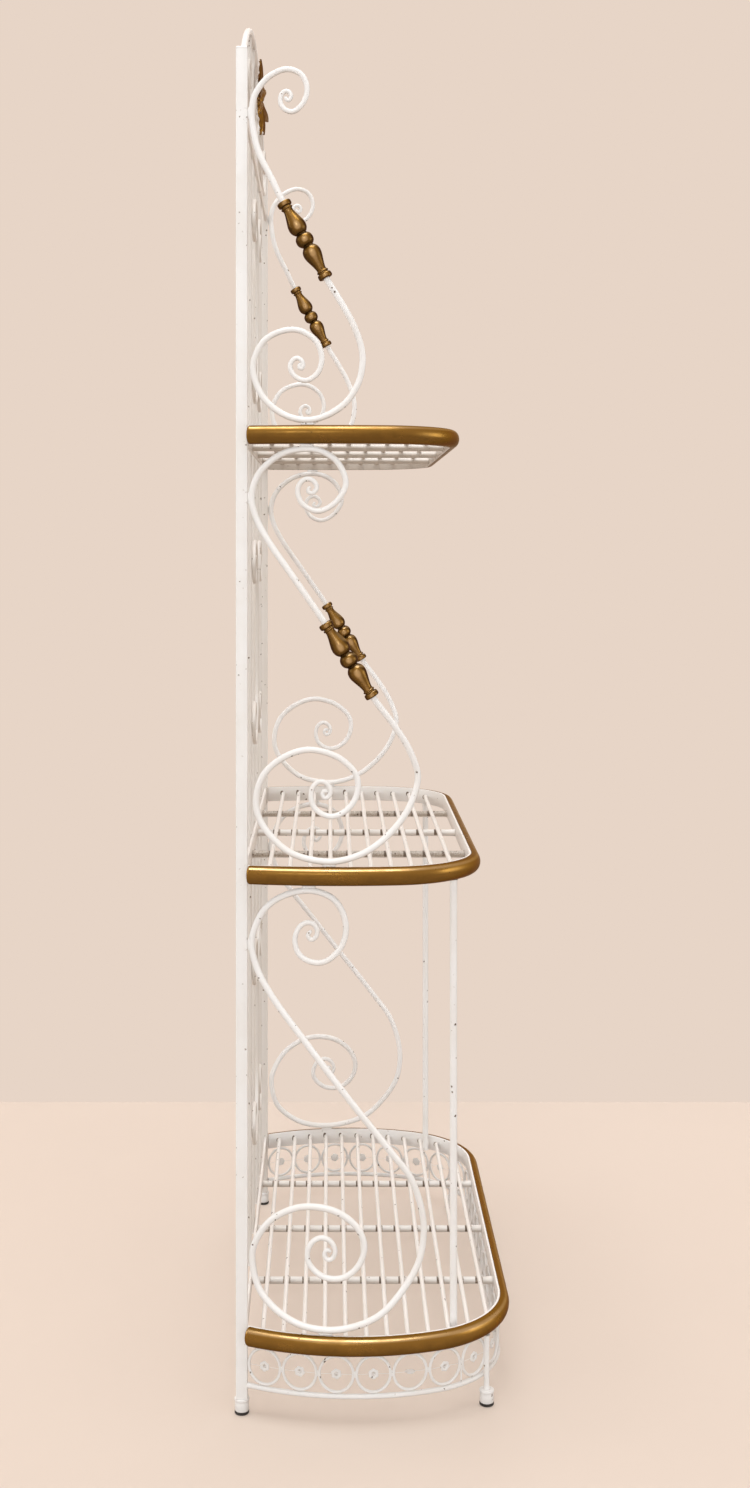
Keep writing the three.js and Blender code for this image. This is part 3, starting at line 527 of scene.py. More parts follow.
BRASS_COAT = {"Patch Scale": 24.0, "Grain Scale": 700.0}
BRASS_SPECKS = {"Density": 120.0, "Size": 0.12, "Amount": 0.05}
BRASS_BUMP = {"Strength": 0.1, "Distance": 0.0004}
BRASS_GLOSS = {
    "Metallic": 0.94, "Specular Tint": (0.5, 0.36, 0.18, 1), "Coat Weight": 0.08, "Coat Roughness": 0.2,
}
# Painted shade on faces that look down and on the edges of the baluster bulges, and painted highlights in a
# band along faces that look up and on the middle of the bulges.
BRASS_SHADE_BELOW, SHADE_BELOW_PATCHES, SHADE_BELOW_STRENGTH = (0.5, -0.7), -0.3, 0.8
UPPER_SHEEN_FROM, UPPER_SHEEN_TO = (0.5, 0.72), (0.95, 0.8)
UPPER_SHEEN_PATCHES, UPPER_SHEEN_STRENGTH = -0.25, 0.55
EDGE_SHADE_FACING, EDGE_SHADE_SHEEN, EDGE_SHADE_DARKNESS = (0.97, 0.58), (0.05, 0.3), 0.5
HIGHLIGHT_FACING, HIGHLIGHT_SHARE = (0.9, 1.0), 0.65
BRASS_SOIL = (0.2, 0.5)
BRASS_ROUGHNESS, BRASS_PATCH_ROUGHNESS, PATINA_ROUGHNESS = 0.27, 0.14, 0.25

RUBBER_COAT = {"Patch Scale": 120.0, "Grain Scale": 1500.0}
RUBBER_BUMP = {"Strength": 0.2, "Distance": 0.0004}
DUST, DUST_CLEAR, DUST_STRENGTH = (0.3, 0.27, 0.24), 0.65, 0.4
RUBBER_ROUGHNESS, RUBBER_GRAIN_ROUGHNESS = 0.6, 0.2

# Sockets of a node that mixes two colours
MIX_SHARE, MIX_FIRST, MIX_SECOND, MIX_RESULT = 0, 6, 7, 2


def rgba(values):
    return (*values, 1.0)


def between(first, second, share):
    return [low + (high - low) * share for low, high in zip(first, second)]


class NodeTree:
    """Adds nodes to a tree, each with its inputs given by name or number."""

    def __init__(self, tree):
        self.tree = tree

    def feed(self, node, inputs):
        """Links the sockets among the inputs to a node, and writes the other values on it."""
        for key, value in inputs.items():
            if isinstance(value, bpy.types.NodeSocket):
                self.tree.links.new(value, node.inputs[key])
            else:
                node.inputs[key].default_value = value

    def add(self, kind, inputs=None, **settings):
        node = self.tree.nodes.new(kind)
        for key, value in settings.items():
            setattr(node, key, value)
        self.feed(node, inputs or {})
        return node

    def math(self, operation, *values):
        return self.add("ShaderNodeMath", dict(enumerate(values)), operation=operation).outputs[0]

    def times(self, first, second):
        return self.math("MULTIPLY", first, second)

    def fit(self, value, factor, offset):
        return self.math("MULTIPLY_ADD", value, factor, offset)

    def range(self, value, start, full):
        inputs = {"Value": value, "From Min": start, "From Max": full}
        return self.add("ShaderNodeMapRange", inputs, interpolation_type="SMOOTHSTEP").outputs[0]

    def blend(self, share, first, second):
        """Mixes two colours, each a socket or three numbers."""
        inputs = {MIX_SHARE: share}
        for key, tone in ((MIX_FIRST, first), (MIX_SECOND, second)):
            inputs[key] = tone if isinstance(tone, bpy.types.NodeSocket) else rgba(tone)
        return self.add("ShaderNodeMix", inputs, data_type="RGBA").outputs[MIX_RESULT]

    def mix(self, share, first, second):
        return self.add("ShaderNodeMixShader", {0: share, 1: first.outputs[0], 2: second.outputs[0]})

    def noise(self, vector, values):
        return self.add("ShaderNodeTexNoise", {"Vector": vector, **values}).outputs

    def coordinates(self, output="Object"):
        return self.add("ShaderNodeTexCoord").outputs[output]

    def facing(self):
        """The object's own direction that a face looks in, along X, Y and Z."""
        return self.add("ShaderNodeSeparateXYZ", {0: self.coordinates("Normal")}).outputs

    def tone(self, name):
        return self.add("ShaderNodeAttribute", attribute_name=name).outputs["Fac"]

    def effect(self, group, values):
        inputs = {"Vector": self.coordinates(), **values}
        return self.add("ShaderNodeGroup", inputs, node_tree=bpy.data.node_groups[group]).outputs

    def bump(self, height, values):
        return self.add("ShaderNodeBump", {"Height": height, **values}).outputs[0]


def new_group(name, given, results):
    """A shader node group that takes a vector and floats and puts out floats."""
    tree = bpy.data.node_groups.new(name, "ShaderNodeTree")
    tree.interface.new_socket("Vector", in_out="INPUT", socket_type="NodeSocketVector")
    for title in given:
        tree.interface.new_socket(title, in_out="INPUT", socket_type="NodeSocketFloat")
    for title in results:
        tree.interface.new_socket(title, in_out="OUTPUT", socket_type="NodeSocketFloat")
    nodes = NodeTree(tree)
    return nodes, nodes.add("NodeGroupInput").outputs, nodes.add("NodeGroupOutput")


def make_chips_group():
    """Small irregular chips, more of them where the coat is soiled."""
    nodes, given, out = new_group("Chips", ("Density", "Size", "Amount", "Soil"), ("Mask", "Rim"))
    warp = nodes.noise(given["Vector"], WARP_NOISE)["Color"]
    inputs = {0: warp, 1: WARP, 2: given["Vector"]}
    bent = nodes.add("ShaderNodeVectorMath", inputs, operation="MULTIPLY_ADD").outputs[0]
    cells = nodes.add("ShaderNodeTexVoronoi", {"Vector": bent, "Scale": given["Density"]}).outputs
    draw = nodes.add("ShaderNodeSeparateColor", {"Color": cells["Color"]}).outputs
    lively = nodes.math("ADD", given["Amount"], nodes.times(given["Soil"], CHIP_SOIL_SHARE))
    chosen = nodes.math("GREATER_THAN", lively, draw[0])
    size = nodes.times(given["Size"], nodes.fit(draw[1], CHIP_SPREAD, CHIP_LEAST))
    inner = nodes.range(cells["Distance"], size, nodes.times(size, CHIP_CORE))
    outer = nodes.range(cells["Distance"], nodes.times(size, CHIP_RIM), size)
    nodes.feed(out, {"Mask": nodes.times(chosen, inner), "Rim": nodes.times(chosen, outer)})


def make_coat_group():
    """Slow changes of tone over a coat, and the fine height of a brushed or cast surface."""
    results = ("Patches", "Grain", "Height")
    nodes, given, out = new_group("Coat", ("Patch Scale", "Grain Scale"), results)
    vector = given["Vector"]
    patches = nodes.noise(vector, PATCH_NOISE | {"Scale": given["Patch Scale"]})["Fac"]
    grain = nodes.noise(vector, GRAIN_NOISE | {"Scale": given["Grain Scale"]})["Fac"]
    height = nodes.fit(nodes.noise(vector, RUN_NOISE)["Fac"], RUN_HEIGHT, grain)
    spread = nodes.range(patches, *PATCH_RANGE)
    nodes.feed(out, {"Patches": spread, "Grain": grain, "Height": height})


def new_look(name, slot):
    """A material's nodes and its Principled shader. The material keeps its record slot."""
    look = bpy.data.materials.new(name)
    look.use_nodes = True
    look["slot"] = slot
    return NodeTree(look.node_tree), look.node_tree.nodes["Principled BSDF"]


def make_white_paint(colours):
    nodes, shader = new_look(PAINT, "white_paint")
    upward = nodes.facing()["Z"]
    # Faces that look down get painted shade and less soil.
    below = nodes.range(upward, *PAINT_BELOW)
    shade = nodes.tone("shade")
    soil = nodes.times(nodes.tone("soil"), nodes.fit(below, BELOW_CLEAN, 1.0))
    coat = nodes.effect("Coat", PAINT_COAT)
    chips = nodes.effect("Chips", PAINT_CHIPS | {"Soil": soil})
    specks = nodes.effect("Chips", PAINT_SPECKS | {"Soil": soil})
    # Random aged patches and the piece's shade value turn the paint towards its shade colour; the shade
    # value part is painted shade.
    aged_and_shade = nodes.fit(coat["Patches"], AGED_PATCHES, nodes.times(shade, SHADE_TONE_SHARE))
    tone = nodes.blend(aged_and_shade, colours.paint, colours.paint_shade)
    # Painted shade on faces turned aside and on faces that look down.
    shaded = nodes.times(nodes.range(upward, *PAINT_SHADED_FACING), shade)
    shaded = nodes.math("MAXIMUM", shaded, nodes.times(below, BELOW_SHADE))
    shade_tone = between(colours.paint_shade, colours.grime_and_shade, SHADE_GRIME_SHARE)
    tone = nodes.blend(nodes.times(shaded, SHADE_STRENGTH), tone, shade_tone)
    spotted = nodes.fit(coat["Grain"], GRAIN_SPOTS, soil)
    stain = nodes.times(nodes.range(soil, *STAIN_SOIL), nodes.range(spotted, *STAIN_SPOTS))
    tone = nodes.blend(nodes.times(stain, STAIN_STRENGTH), tone, colours.grime_and_shade)
    tone = nodes.blend(nodes.times(nodes.range(spotted, *RUST_SPOTS), RUST_STRENGTH), tone, colours.rust)
    rim = nodes.times(nodes.math("MAXIMUM", chips["Rim"], specks["Rim"]), CHIP_RING)
    tone = nodes.blend(rim, tone, colours.grime_and_shade)
    bare = nodes.math("MAXIMUM", chips["Mask"], specks["Mask"])
    rough = nodes.fit(coat["Patches"], PAINT_PATCH_ROUGHNESS, PAINT_ROUGHNESS)
    nodes.feed(shader, {
        "Base Color": nodes.blend(bare, tone, colours.rust),
        "Roughness": nodes.fit(bare, BARE_ROUGHNESS, rough),
        "Normal": nodes.bump(nodes.fit(bare, BARE_DEPTH, coat["Height"]), PAINT_BUMP),
        **PAINT_GLOSS,
    })


def make_aged_brass_and_painted_light(colours):
    nodes, shader = new_look(BRASS, "aged_brass")
    soil, bulge_sheen = nodes.tone("soil"), nodes.tone("bulge_sheen")
    coat = nodes.effect("Coat", BRASS_COAT)
    specks = nodes.effect("Chips", BRASS_SPECKS | {"Soil": soil})
    facing = nodes.facing()
    upward, outward = facing["Z"], nodes.math("ABSOLUTE", facing["X"])
    # Painted shade: the brass darkens on faces that look down.
    under = nodes.range(nodes.fit(coat["Patches"], SHADE_BELOW_PATCHES, upward), *BRASS_SHADE_BELOW)
    tone = nodes.blend(nodes.times(under, SHADE_BELOW_STRENGTH), colours.brass, colours.brass_patina_and_shade)
    # Painted shade on the edges of the baluster bulges, where they turn away from X.
    edge = nodes.times(nodes.range(outward, *EDGE_SHADE_FACING), nodes.range(bulge_sheen, *EDGE_SHADE_SHEEN))
    tone = nodes.blend(edge, tone, [value * EDGE_SHADE_DARKNESS for value in colours.brass_patina_and_shade])
    # Painted highlight on the middle of the baluster bulges, where they face along X.
    bulge_highlight = nodes.times(nodes.range(outward, *HIGHLIGHT_FACING), bulge_sheen)
    tone = nodes.blend(bulge_highlight, tone, between(colours.brass, colours.brass_highlight, HIGHLIGHT_SHARE))
    # Painted highlight in a band along faces that look up.
    painted_sheen = nodes.times(nodes.range(upward, *UPPER_SHEEN_FROM), nodes.range(upward, *UPPER_SHEEN_TO))
    painted_sheen = nodes.times(painted_sheen, nodes.fit(coat["Patches"], UPPER_SHEEN_PATCHES, UPPER_SHEEN_STRENGTH))
    tone = nodes.blend(painted_sheen, tone, colours.brass_highlight)
    dark = nodes.math("MAXIMUM", specks["Mask"], nodes.range(soil, *BRASS_SOIL))
    rough = nodes.fit(coat["Patches"], BRASS_PATCH_ROUGHNESS, BRASS_ROUGHNESS)
    nodes.feed(shader, {
        "Base Color": nodes.blend(dark, tone, colours.brass_patina_and_shade),
        "Roughness": nodes.fit(dark, PATINA_ROUGHNESS, rough),
        "Normal": nodes.bump(coat["Height"], BRASS_BUMP),
        **BRASS_GLOSS,
    })


def make_black_rubber(colours):
    nodes, shader = new_look(RUBBER, "black_glide")
    coat = nodes.effect("Coat", RUBBER_COAT)
    dusty = between(DUST, colours.rubber, DUST_CLEAR)
    nodes.feed(shader, {
        "Base Color": nodes.blend(nodes.times(coat["Patches"], DUST_STRENGTH), colours.rubber, dusty),
        "Roughness": nodes.fit(coat["Grain"], RUBBER_GRAIN_ROUGHNESS, RUBBER_ROUGHNESS),
        "Normal": nodes.bump(coat["Height"], RUBBER_BUMP),
    })


class RACK_OT_finishes(bpy.types.Operator):
    """Makes the paint, brass and rubber"""

    bl_idname = "rack.finishes"
    bl_label = "Finishes"

    def execute(self, context):
        make_chips_group()
        make_coat_group()
        for make in (make_white_paint, make_aged_brass_and_painted_light, make_black_rubber):
            make(context.scene.rack_colours)
        return {"FINISHED"}


# Posts, feet and front rods

POST_ROUNDING = 1.6 * MM
POST_STEP = 40 * MM
POST_SKIN = 0.5 * MM
POST_INNER_SHADE = 0.7
WELD_SPREAD = 8 * MM
WELD_FLARE, WELD_FADE = 0.9 * MM, 2.2 * MM
# Where rows of points lie round a weld and near a rod's ends, in mm
WELD_OFFSETS = (-7, -4, -2, 0, 2, 4, 7)
END_OFFSETS = (1, 2, 3, 4)
ROD_STEP = 20 * MM
LEAST_STEP = 0.3 * MM
# How far each ring of a cap lies inside the post, its share of the rounding, and its drop, in mm.
CAP_RINGS = ((2, 0.5, 3), (0, 1, 3), (0, 1, 1.4), (0.4, 1, 0.5), (1.2, 0.8, 0))


def square_ring(centre, half, rounding, height):
    pairs = rounded_rectangle(half * 2, half * 2, rounding)
    return [Vector((centre.x + x, centre.y + y, height)) for x, y in pairs]


def rows_between(low, high, step):
    count = math.ceil((high - low) / step)
    return [low + (high - low) * index / count for index in range(count + 1)]


def thinned(rows):
    return [rows[0]] + [b for a, b in zip(rows, rows[1:]) if b - a > LEAST_STEP]


def rows_with_marks(low, high, step, marks, offsets=WELD_OFFSETS):
    """Evenly spaced numbers, with others close together round each mark."""
    fine = [mark + offset * MM for mark in marks for offset in offsets]
    fine = [low, *sorted(row for row in fine if low < row < high), high]
    clear = step / 3
    coarse = [row for row in rows_between(low, high, step) if min(abs(row - f) for f in fine) > clear]
    return thinned(sorted(fine + coarse))


def straight(start, end, marks=(), offsets=WELD_OFFSETS):
    """Points along a line, close together near both ends and near the marks along it."""
    total = (end - start).length
    near = [offset * MM for offset in END_OFFSETS]
    rows = rows_with_marks(0, total, ROD_STEP, marks, offsets)
    rows = thinned(sorted(rows + near + [total - offset for offset in near]))
    direction = (end - start).normalized()
    return [start + direction * run for run in rows]


def flared(way, radius):
    """Radii of a rod that a bead of weld thickens at both ends."""
    nears = [min((point - way[0]).length, (point - way[-1]).length) for point in way]
    return [radius + WELD_FLARE * math.exp(-near / WELD_FADE) for near in nears]


def upright_rod(node):
    """The ends and the radius of an upright rod."""
    low, centre, high = box_of(node)
    start, end = (Vector((centre.x, centre.y, z)) for z in (low.z, high.z))
    return start, end, (high.x - low.x) / 2


def farthest(way, direction):
    return max(way, key=lambda point: point.dot(direction)).copy()


class RACK_OT_posts(bpy.types.Operator):
    """Models the two square posts and their caps"""

    bl_idname = "rack.posts"
    bl_label = "Posts"

    def execute(self, context):
        half = POST_SIZE / 2
        for side, sign in SIDES.items():
            low, centre, high = box_of(f"{side}_post")
            inner = (low if sign > 0 else high).x
            # The inner face of each post gets painted shade.
            shape = Shape(lambda point, inner=inner: POST_INNER_SHADE * (abs(point.x - inner) < POST_SKIN))
            marks = [level for plan in map(Plan, SHELVES) for level in (plan.underside, plan.top)]
            for level in marks:
                shape.welds += [place(side, 0, 0, level), place(side, -POST_SIZE, 0, level)]
            for level in SCROLLS:
                rear = farthest(scroll_way(side, level)[0], BACK)
                for height in (rear.z - WELD_SPREAD, rear.z + WELD_SPREAD):
                    marks.append(height)
                    shape.welds.append(Vector((rear.x, POST_FRONT, height)))
            rows = rows_with_marks(low.z, high.z, POST_STEP, marks)
            shape.loft([square_ring(centre, half, POST_ROUNDING, row) for row in rows])
            make_piece(f"{side}_post_tube", shape, PAINT, f"{side}_post")

            low, _, high = box_of(f"{side}_post_cap")
            shape = Shape()
            heights = [low.z] + [high.z - drop * MM for _, _, drop in CAP_RINGS]
            shape.loft([
                square_ring(centre, half - inset * MM, POST_ROUNDING * share, height)
                for (inset, share, _), height in zip(CAP_RINGS[:1] + CAP_RINGS, heights)
            ])
            make_piece(f"{side}_post_lid", shape, PAINT, f"{side}_post_cap")
        return {"FINISHED"}


class RACK_OT_feet(bpy.types.Operator):
    """Models the foot cups and their glides"""

    bl_idname = "rack.feet"
    bl_label = "Feet"

    def execute(self, context):
        parts = (("cup", PAINT, CUP_SHARES), ("glide", RUBBER, GLIDE_SHARES))
        for foot in [f"{side}_{end}" for side in SIDES for end in ("rear", "front")]:
            for part, finish, shares in parts:
                start, end, radius = upright_rod(f"{foot}_{part}")
                profile = [(reach * radius, rise * (end.z - start.z)) for reach, rise in shares]
                shape = Shape()
                shape.lathe(profile, Matrix.Translation(start))
                if finish == PAINT:
                    shape.welds.append(end)
                make_piece(f"{foot}_foot_{part}", shape, finish, f"{foot}_{part}")
        return {"FINISHED"}


class RACK_OT_front_rods(bpy.types.Operator):
    """Models the front legs and the front uprights"""

    bl_idname = "rack.front_rods"
    bl_label = "Front legs and uprights"

    def execute(self, context):
        for node in [f"{side}_front_{part}" for side in SIDES for part in ("leg", "upright")]:
            start, end, radius = upright_rod(node)
            shape = Shape()
            way = straight(start, end)
            shape.tube(way, flared(way, radius), sides=20)
            shape.welds += [start, end]
            make_piece(f"{node}_rod", shape, PAINT, node)
        return {"FINISHED"}


# Shelves

BAND_ROUNDING = 1.1 * MM
# Painted shade on each band, strongest round the top shelf.
BAND_SHADE = {"bottom": 0.1, "middle": 0.35, "top": 1.2}
CROSSBAR_DROP = 6 * MM
RIM_STEPS = 14
RIM_FULLNESS = 0.85
RIM_END_ROUNDING = 4.5 * MM
RIM_END_CUTS = 6
GRILLE_SEED = 7
# Where rows of points lie round the crossing of two rods, in mm
CROSSING_OFFSETS = (-8, -6.4, -5.6, -3, 0, 3, 5.6, 6.4, 8)
CROSSING_REACH = 6 * MM
CROSSING_SOIL = ((0.15, 0.7), (0.7, 1.1))
GRILLE_SOIL = {"bottom": 1.0, "middle": 1.15, "top": 0.15}
GRILLE_GRIME = {"bottom": 0.0, "middle": 0.55, "top": 0.0}
# Painted shade on the sides and undersides of the slats and crossbars, which also turns them towards the
# shade colour; strongest under the top shelf.
GRILLE_SHADE = {"bottom": 0.5, "middle": 0.6, "top": 1.2}
# Places and sizes of weld lumps, in mm. A pair is drawn between its two numbers.
SLAT_END_SHIFT, SLAT_END_LUMP, SLAT_END_SOIL = (0, 2.6, (-0.5, 2)), (3.4, (5, 6.6), (8, 11)), (0.65, 1.05)
CROSSING_SHIFT, CROSSING_LUMP, LUMP_SOIL = (-0.6, 0.3), ((4.5, 6.5), 2.6, (3, 4.2)), (0.3, 0.7)
CROSSING_ASIDE, CROSSING_RISE = 0.95, 1 * MM
# The rails get painted shade through RAIL_SHADE.
RAIL_ROUNDING, RAIL_STEP, RAIL_SHADE = 1 * MM, 30 * MM, 0.5
RAIL_LUMP, RAIL_LUMP_INSET, RAIL_LUMP_LEVEL = (2.4 * MM, 1 * MM, 5 * MM), 0.8 * MM, 0.3


def drawn(draw, *spans):
    return [(draw.uniform(*span) if isinstance(span, tuple) else span) * MM for span in spans]


class RACK_OT_bands(bpy.types.Operator):
    """Models the painted band round each shelf"""

    bl_idname = "rack.bands"
    bl_label = "Shelf bands"

    def execute(self, context):
        sizes = context.scene.rack_sizes
        for name in SHELVES:
            plan = Plan(name)
            pairs = rounded_rectangle(sizes.band, plan.top - plan.underside, BAND_ROUNDING, steps=3)
            section = [(x - sizes.band / 2, y) for x, y in pairs]
            shape = Shape(BAND_SHADE[name])
            sweep_plan(shape, plan.way(0, plan.middle), lambda run: section)
            level = plan.underside + sizes.slat_height
            for forward in plan.slats:
                outward = plan.outward_at(forward, sizes.band)
                shape.welds += [place(side, outward, forward, level) for side in SIDES]
            front = POST_FRONT - plan.depth + sizes.band
            shape.welds += [Vector((x, front, level - CROSSBAR_DROP)) for x in CROSSBARS]
            make_piece(f"{name}_shelf_hoop", shape, PAINT, f"{name}_shelf_band")
        return {"FINISHED"}


def finely(first, second):
    """The way from one place of a plan to the next, in short steps."""
    steps = [cut / RIM_END_CUTS for cut in range(RIM_END_CUTS)]
    return [(first[0].lerp(second[0], step), first[1].lerp(second[1], step)) for step in steps]


class RACK_OT_rims(bpy.types.Operator):
    """Models the half-round brass rim round each shelf"""

    bl_idname = "rack.rims"
    bl_label = "Brass rims"

    def execute(self, context):
        sizes = context.scene.rack_sizes
        turns = [math.pi * k / RIM_STEPS for k in range(RIM_STEPS + 1)]
        for name in SHELVES:
            plan = Plan(name)
            half = (plan.top - plan.underside) / 2
            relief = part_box(f"{name}_shelf_band")[0].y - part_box(f"{name}_shelf_rim")[0].y - sizes.gap

            def section(run):
                inset = RIM_END_ROUNDING - min(run, RIM_END_ROUNDING)
                lost = RIM_END_ROUNDING - math.sqrt(RIM_END_ROUNDING**2 - inset**2)
                high, deep = half - lost, relief - lost
                return [(deep * math.sin(turn) ** RIM_FULLNESS, high * math.cos(turn)) for turn in turns]

            way = plan.way(-sizes.gap, plan.middle)
            way = finely(way[0], way[1]) + way[1:-1] + finely(way[-1], way[-2])[::-1]
            shape = Shape()
            sweep_plan(shape, way, section)
            shape.welds += [way[0][0], way[-1][0]]
            make_piece(f"{name}_shelf_moulding", shape, BRASS, f"{name}_shelf_rim")
        return {"FINISHED"}


class RACK_OT_grilles(bpy.types.Operator):
    """Models the slats and crossbars of each shelf"""

    bl_idname = "rack.grilles"
    bl_label = "Shelf grilles"

    def execute(self, context):
        sizes = context.scene.rack_sizes
        draw = random.Random(GRILLE_SEED)
        for name in SHELVES:
            plan = Plan(name)
            low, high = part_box(f"{name}_shelf_grille")
            slat_z = plan.underside + sizes.slat_height
            bar_z = low.z + sizes.crossbar * HEXAGON
            shape = Shape(GRILLE_SHADE[name])
            soiled = GRILLE_SOIL[name]
            marks = [POST_FRONT - forward - low.y for forward in plan.slats]
            for x in CROSSBARS:
                start, end = Vector((x, low.y, bar_z)), Vector((x, high.y, bar_z))
                way = straight(start, end, marks, CROSSING_OFFSETS)
                rust = [[draw.uniform(*span) for span in CROSSING_SOIL] for _ in marks]
                level = GRILLE_GRIME[name] if x else 0.0
                soil = []
                for point in way:
                    asides = [point.y - low.y - mark for mark in marks]
                    nearest = min(range(len(marks)), key=lambda index: abs(asides[index]))
                    aside = asides[nearest]
                    touched = abs(aside) < CROSSING_REACH
                    soil.append(rust[nearest][aside > 0] * soiled if touched else level)
                shape.tube(way, flared(way, sizes.crossbar), soil=soil)
                shape.welds += [way[0], way[-1]]
            for forward in plan.slats:
                edges = (forward - sizes.slat, forward + sizes.slat)
                outward = min(plan.outward_at(edge, sizes.band + sizes.gap) for edge in edges)
                ends = [place(side, outward, forward, slat_z) for side in SIDES]
                way = straight(*ends, [x - ends[0].x for x in CROSSBARS])
                shape.tube(way, flared(way, sizes.slat), sides=12)
                for spot in ends:
                    lump = spot + Vector(drawn(draw, *SLAT_END_SHIFT))
                    size = drawn(draw, *SLAT_END_LUMP)
                    shape.bead(lump, size, soil=draw.uniform(*SLAT_END_SOIL) * soiled)
                for x in CROSSBARS:
                    spot = Vector((x, POST_FRONT - forward, (slat_z + bar_z) / 2 + CROSSING_RISE))
                    for aside in (-sizes.slat * CROSSING_ASIDE, sizes.slat * CROSSING_ASIDE):
                        lump = spot + Vector((0, aside, *drawn(draw, CROSSING_SHIFT)))
                        size = drawn(draw, *CROSSING_LUMP)
                        shape.bead(lump, size, soil=draw.uniform(*LUMP_SOIL) * soiled)
            make_piece(f"{name}_shelf_slats", shape, PAINT, f"{name}_shelf_grille")
        return {"FINISHED"}


class RACK_OT_back_rails(bpy.types.Operator):
    """Models the flat rails between the posts"""

    bl_idname = "rack.back_rails"
    bl_label = "Back rails"

    def execute(self, context):
        for node in RAILS:
            low, middle, high = box_of(node)
            shape = Shape(RAIL_SHADE)
            pairs = rounded_rectangle(high.y - low.y, high.z - low.z, RAIL_ROUNDING)
            shape.loft([
                [Vector((x, middle.y + y, middle.z + z)) for y, z in pairs]
                for x in rows_between(low.x, high.x, RAIL_STEP)
            ])
            size = Vector(RAIL_LUMP) + BACK * (high.y - low.y)
            for x in (low.x, high.x):
                lump_x = x - math.copysign(RAIL_LUMP_INSET, x)
                for z in (low.z, high.z):
                    shape.welds.append(Vector((x, low.y, z)))
                    lump_z = z * (1 - RAIL_LUMP_LEVEL) + middle.z * RAIL_LUMP_LEVEL
                    shape.bead(Vector((lump_x, middle.y, lump_z)), size)
            shape.welds += [Vector((box_of(bar)[1].x, high.y, middle.z)) for bar in BACK_BARS]
            make_piece(f"{node}_flat", shape, PAINT, node)
        return {"FINISHED"}


# End scrolls

LEAD_SHARE = 0.12
TIP_SHARE = 0.6
TAPER_RUN = 300 * MM
TAPER_EASE = 0.45
PAD_WIDTH, PAD_ROUNDING, PAD_SINK = 5.5 * MM, 2 * MM, 0.8 * MM
PAD_RINGS = ((-1, 0.86), (-0.5, 1), (0.5, 1), (1, 0.86))
PAD_WELDS = (-9 * MM, 0, 9 * MM)
TAB_WIDTH, TAB_SINK, TAB_SWELL, TAB_LENGTH = 5.5 * MM, 1 * MM, 1.3, 0.9
BORE_GAP, BORE_DEPTH = 0.35 * MM, 1 * MM
BALUSTER_CUTS = 4
# How the painted highlight and painted edge shade of a baluster grow with the radius of its bulges.
SHEEN_LEAST, SHEEN_START, SHEEN_SPAN = 0.3, 0.55, 0.4


def scroll_way(side, level):
    """A scroll's centre line, and the two ends of its baluster, if it has one."""
    sizes = bpy.context.scene.rack_sizes
    under_name, over_name, first, second = SCROLLS[level]
    under = Plan(under_name)
    over = Plan(over_name) if over_name else None
    low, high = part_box(f"{side}_{level}_scroll")
    flat = [Vector((0, forward, height)) for forward, height in first + second]
    fine = smooth_curve(flat, CURVE_CUTS)
    least = [min(p[axis] for p in fine) for axis in (1, 2)]
    most = [max(p[axis] for p in fine) for axis in (1, 2)]
    start = sizes.gap + sizes.tab + sizes.scroll
    reach = POST_FRONT - low.y - sizes.scroll - start
    base = under.top + sizes.gap + sizes.pad + sizes.scroll
    ceiling = over.underside - sizes.gap - sizes.pad - sizes.scroll if over else high.z - sizes.scroll
    points = []
    for point in flat:
        forward = start + (point.y - least[0]) / (most[0] - least[0]) * reach
        height = base + (point.z - least[1]) / (most[1] - least[1]) * (ceiling - base)
        outward = under.outward_at(forward, sizes.band / 2)
        if over:
            share = (height - under.underside) / (over.underside - under.underside)
            outward += (over.outward_at(forward, sizes.band / 2) - outward) * share
        points.append(place(side, outward, forward, height))
    if not second:
        return rod_way(points), None, None
    split = len(first)
    head, foot = points[split - 1], points[split]
    lead = (foot - head) * LEAD_SHARE
    upper = rod_way(points[: split - 1] + [head - lead, head, head + lead])
    lower = rod_way([foot - lead, foot, foot + lead] + points[split + 1 :])
    joint = spaced([upper[-1], lower[0]], SCROLL_STEP)
    return upper[:-1] + joint + lower[1:], head, foot


def tapered(way, radius):
    """Radii of a forged rod that thins towards both tips."""
    runs = runs_along(way)
    shares = [min(run, runs[-1] - run, TAPER_RUN) / TAPER_RUN for run in runs]
    return [radius * (TIP_SHARE + (1 - TIP_SHARE) * share**TAPER_EASE) for share in shares]


